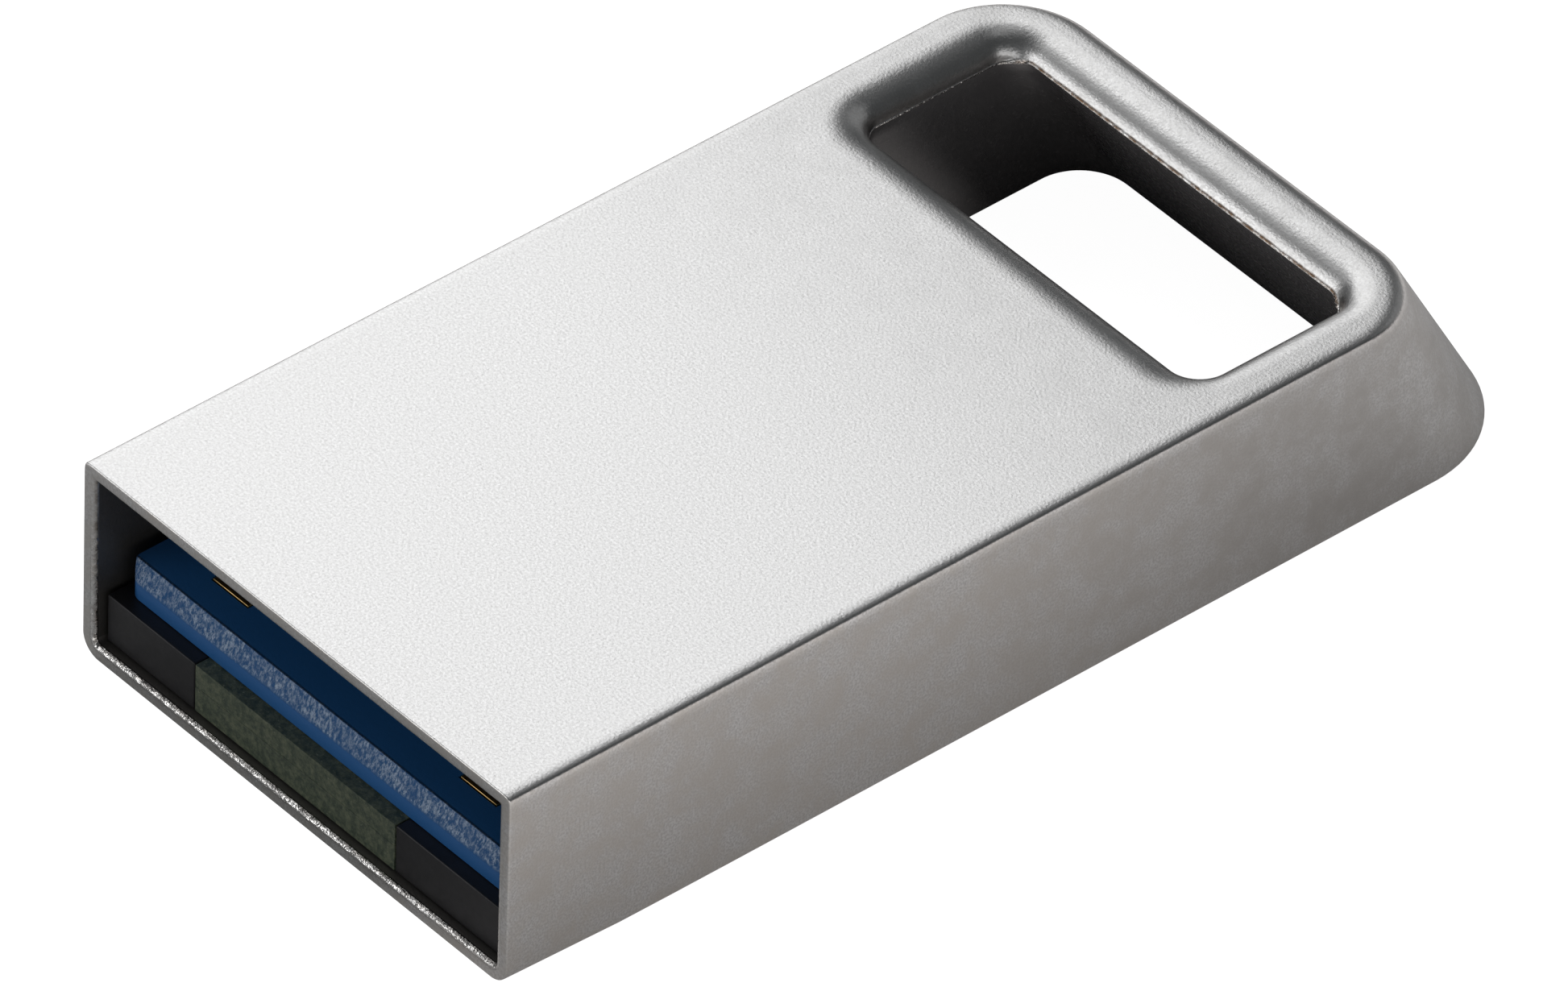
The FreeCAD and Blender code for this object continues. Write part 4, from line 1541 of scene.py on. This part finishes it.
@dataclass
class Studio:
    """Pale floor, dim room and softboxes.

    The levels are of full brightness: what the camera sees of the floor, what the metal mirrors of
    the floor far from the drive, outside a painted shadow, and of a painted pool of light under the
    hole, and the room.
    """

    floor_half: float = 600.0
    floor_gap: float = 0.002
    floor_colour: Colour = (0.60, 0.60, 0.60)
    mirrored_colour: Colour = (1.0, 0.945, 0.922)
    room_colour: Colour = (0.92, 0.97, 1.0)
    seen_level: float = 0.97
    mirrored_level: float = 0.85
    painted_hole_light_level: float = 0.65
    room_level: float = 0.06
    # the painted shadow on the floor that the metal mirrors beside the drive
    shade_reach: float = 18.0
    shade_shift: tuple[float, float] = (4.0, 3.0)
    shade_margin: tuple[float, float] = (0.0, 2.0)
    # the painted pool of light on the floor under the hole
    patch_side_fade: float = 1.5
    patch_front_fade: float = 1.0
    patch_back: float = 4.5
    patch_back_fade: float = 1.5
    lights: tuple[Softbox, ...] = (
        # name, azimuth, elevation, distance, half angles across and up, glow
        Softbox("key", 157.5, 39.0, 0.16, 21.0, 26.0, 1.36),
        Softbox("fill", 197.0, 48.0, 0.22, 17.0, 14.0, 0.52),
        Softbox("low", 236.0, 19.0, 0.25, 15.0, 13.0, 2.0),
        Softbox("front", 318.0, 12.0, 0.35, 40.0, 11.0, 1.1),
        Softbox("above", 90.0, 80.0, 0.35, 16.0, 12.0, 0.36),
        Softbox("back", 88.0, 24.0, 0.35, 22.0, 20.0, 0.22))

    def _floor(self) -> None:
        """A level floor just under the drive, pale to the eye and lit by the same lamps."""
        half = self.floor_half * MM
        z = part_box("metal_housing")[0][2] - self.floor_gap * MM
        corners = [(-half, -half, z), (half, -half, z), (half, half, z), (-half, half, z)]
        mesh = bpy.data.meshes.new("floor")
        mesh.from_pydata(corners, [], [[0, 1, 2, 3]])
        made = placed("floor", mesh)
        paint = bpy.data.materials.new("floor_paint")
        paint.use_nodes = True
        recipe = Recipe(paint.node_tree)
        body = recipe.node("ShaderNodeBsdfDiffuse", {}, {"Color": self.floor_colour})
        # the metal mirrors a painted shadow beside the drive and a painted pool of light under the
        # hole
        mirrored = recipe.glow(self._painted_floor_light(recipe), self.mirrored_colour)
        level = recipe.choice(self._mirrored(recipe), recipe.glow(0.0), mirrored)
        level = recipe.choice(recipe.ray("Is Camera Ray"), level, recipe.glow(self.seen_level))
        recipe.finish(recipe.node("ShaderNodeAddShader", {}, {0: body, 1: level}))
        mesh.materials.append(paint)

    def _painted_floor_light(self, recipe: Recipe) -> Wire:
        """How bright the metal sees the floor: dim beside the drive, in a painted shadow.

        The level rises with the distance from the painted shadow's border by 1 - exp(-distance /
        reach). The painted shadow is the drive's outline, moved towards the front left.

        Args:
            recipe: the floor's node tree.

        Returns:
            The level.
        """
        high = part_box("metal_housing")[1]
        axes = recipe.axes(recipe.place())
        across, along = ((abs(at + shift) - (edge / MM + margin)).at_least(0.0)
                         for at, edge, shift, margin in zip(axes, high, self.shade_shift,
                                                            self.shade_margin))
        distance = (across * across + along * along).root()
        fading = (distance * (-1 / self.shade_reach)).exp()
        # plus the painted pool of light under the hole
        return (1 - fading) * self.mirrored_level + self._painted_hole_light(recipe) * self.painted_hole_light_level

    def _painted_hole_light(self, recipe: Recipe) -> Wire:
        """A painted pool of light on the floor under the lanyard hole.

        Args:
            recipe: the floor's node tree.

        Returns:
            1 on the patch, fading to 0 at its borders.
        """
        low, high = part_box("ring_liner")
        across, along, _ = recipe.axes(recipe.place())
        half, front, back = high[0] / MM, low[1] / MM, high[1] / MM - self.patch_back
        return (abs(across).step(half, half - self.patch_side_fade)
                * along.step(front, front + self.patch_front_fade)
                * along.step(back + self.patch_back_fade, back))

    @staticmethod
    def _mirrored(recipe: Recipe) -> Wire:
        """1 where metal or clear plastic mirrors the surroundings, else 0."""
        return recipe.ray("Is Glossy Ray").at_least(recipe.ray("Is Transmission Ray"))

    def _room(self) -> None:
        """A plain dim room whose camera side is white."""
        world = bpy.data.worlds.new("room")
        bpy.context.scene.world = world
        world.use_nodes = True
        recipe = Recipe(world.node_tree)
        dim = recipe.node("ShaderNodeBackground", {},
                          {"Color": self.room_colour, "Strength": self.room_level})
        white = recipe.node("ShaderNodeBackground", {}, {"Color": WHITE, "Strength": 1.0})
        mixed = recipe.choice(recipe.ray("Is Camera Ray"), dim, white)
        recipe.node("ShaderNodeOutputWorld", {}, {"Surface": mixed})

    def build(self) -> None:
        """Makes the floor, the room and the lights, and sets plain colours."""
        self._floor()
        self._room()
        for light in self.lights:
            light.build()
        bpy.context.scene.view_settings.view_transform = "Standard"


# ---------------------------------------------------------------- the drive

class Spring(Enum):
    """The five sprung contacts."""

    RECEIVE_MINUS = "receive_minus"
    RECEIVE_PLUS = "receive_plus"
    DRAIN = "drain"
    TRANSMIT_MINUS = "transmit_minus"
    TRANSMIT_PLUS = "transmit_plus"


@dataclass
class Module:
    """Everything that slides into the sleeve: carrier, tongue, board, contacts and small parts."""

    gold: GoldPlate = GoldPlate("gold_plate")
    strip_edge: float = 0.015
    sheet_edge: float = 0.008
    crystal_base: float = 0.3

    def softened(self) -> list[SoftenedPiece]:
        """The pieces that show at the mouth and get softened edges.

        Returns:
            The pieces, not yet made.
        """
        black = Moulding("carrier_moulding", colour=(0.009, 0.009, 0.011),
                         worn=(0.016, 0.016, 0.019), rough=0.42)
        pieces = [
            SoftenedPiece("board_carrier", "carrier_moulding", "carrier_plastic", black),
            SoftenedPiece("tongue", "tongue_moulding", "tongue_plastic",
                          BlueMoulding("tongue_moulding")),
            SoftenedPiece("contact_holder", "holder_moulding", "holder_plastic",
                          Moulding("holder_moulding", colour=(0.014, 0.014, 0.016))),
            SoftenedPiece("front_spacer", "spacer_strip", "spacer_laminate",
                          Laminate("sawn_laminate"), self.sheet_edge),
            SoftenedPiece("circuit_board", "board_sheet", "board_laminate",
                          Laminate("masked_laminate", rough=0.4), self.sheet_edge)]
        strips = {name + "_contact": (name + "_strip", "housing")
                  for name in ("power", "data_minus", "data_plus", "ground")}
        strips |= {spring.value + "_contact": (spring.value + "_leaf", spring.value + "_spring")
                   for spring in Spring}
        for node, (name, body) in strips.items():
            pieces.append(SoftenedPiece(node, name, "contact_gold", self.gold, self.strip_edge,
                                        segments=2, body=body))
        return pieces

    def finishes(self) -> dict[str, Finish]:
        """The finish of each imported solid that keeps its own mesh.

        Returns:
            The finishes by node.
        """
        epoxy = Moulding("package_epoxy", colour=(0.02, 0.02, 0.021),
                         worn=(0.035, 0.035, 0.036), rough=0.6)
        chip_middle = (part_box("capacitors")[0][0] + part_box("capacitors")[1][0]) / 2 / MM
        crystal_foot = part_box("crystal")[0][2] / MM
        return {
            "memory_package": epoxy,
            "controller_package": epoxy,
            "surge_arrays": epoxy,
            "voltage_regulator": Moulding("regulator_epoxy", colour=(0.025, 0.025, 0.027),
                                          rough=0.55),
            "power_inductor": Moulding("inductor_ferrite", colour=(0.07, 0.07, 0.074),
                                       worn=(0.12, 0.12, 0.125), rough=0.6, grain_depth=0.01),
            "capacitors": TinnedPart("capacitor_ceramic", middle=chip_middle),
            "resistors": TinnedPart("resistor_glaze", body=(0.012, 0.012, 0.014), rough=0.3,
                                    middle=chip_middle),
            "crystal": PlatedLid("plated_lid", base_top=crystal_foot + self.crystal_base),
            "solder_pads": GoldPlate("pad_gold", colour=(0.8, 0.58, 0.26)),
            "insulating_film": Film("amber_film"),
            "adhesive_pad": Film("set_adhesive", colour=(0.45, 0.42, 0.36), dark=(0.32, 0.3, 0.26))}

    def build(self) -> None:
        """Makes the softened pieces and dresses the other solids."""
        for piece in self.softened():
            piece.build()
            LOG.info("piece %s stands for %s", piece.name, piece.node)
        for node, finish in self.finishes().items():
            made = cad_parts[node]
            made.data.materials.clear()
            made.data.materials.append(finish.material())
            LOG.info("solid %s has finish %s", node, finish.name)


def main() -> None:
    """Builds the drive and its studio in order."""
    logging.basicConfig(level=logging.INFO, format="%(name)s: %(message)s")
    low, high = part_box("metal_housing")
    shell = DrawnShell(width=(high[0] - low[0]) / MM, height=(high[2] - low[2]) / MM,
                       mouth=low[1] / MM, end=high[1] / MM)
    for part in (Housing(shell), RingLining(shell)):
        made = part.build()
        LOG.info("piece %s, %d faces", made.name, len(made.data.polygons))
    Module().build()
    Studio().build()
    Viewpoint().build()


if __name__ == "__main__":
    main()
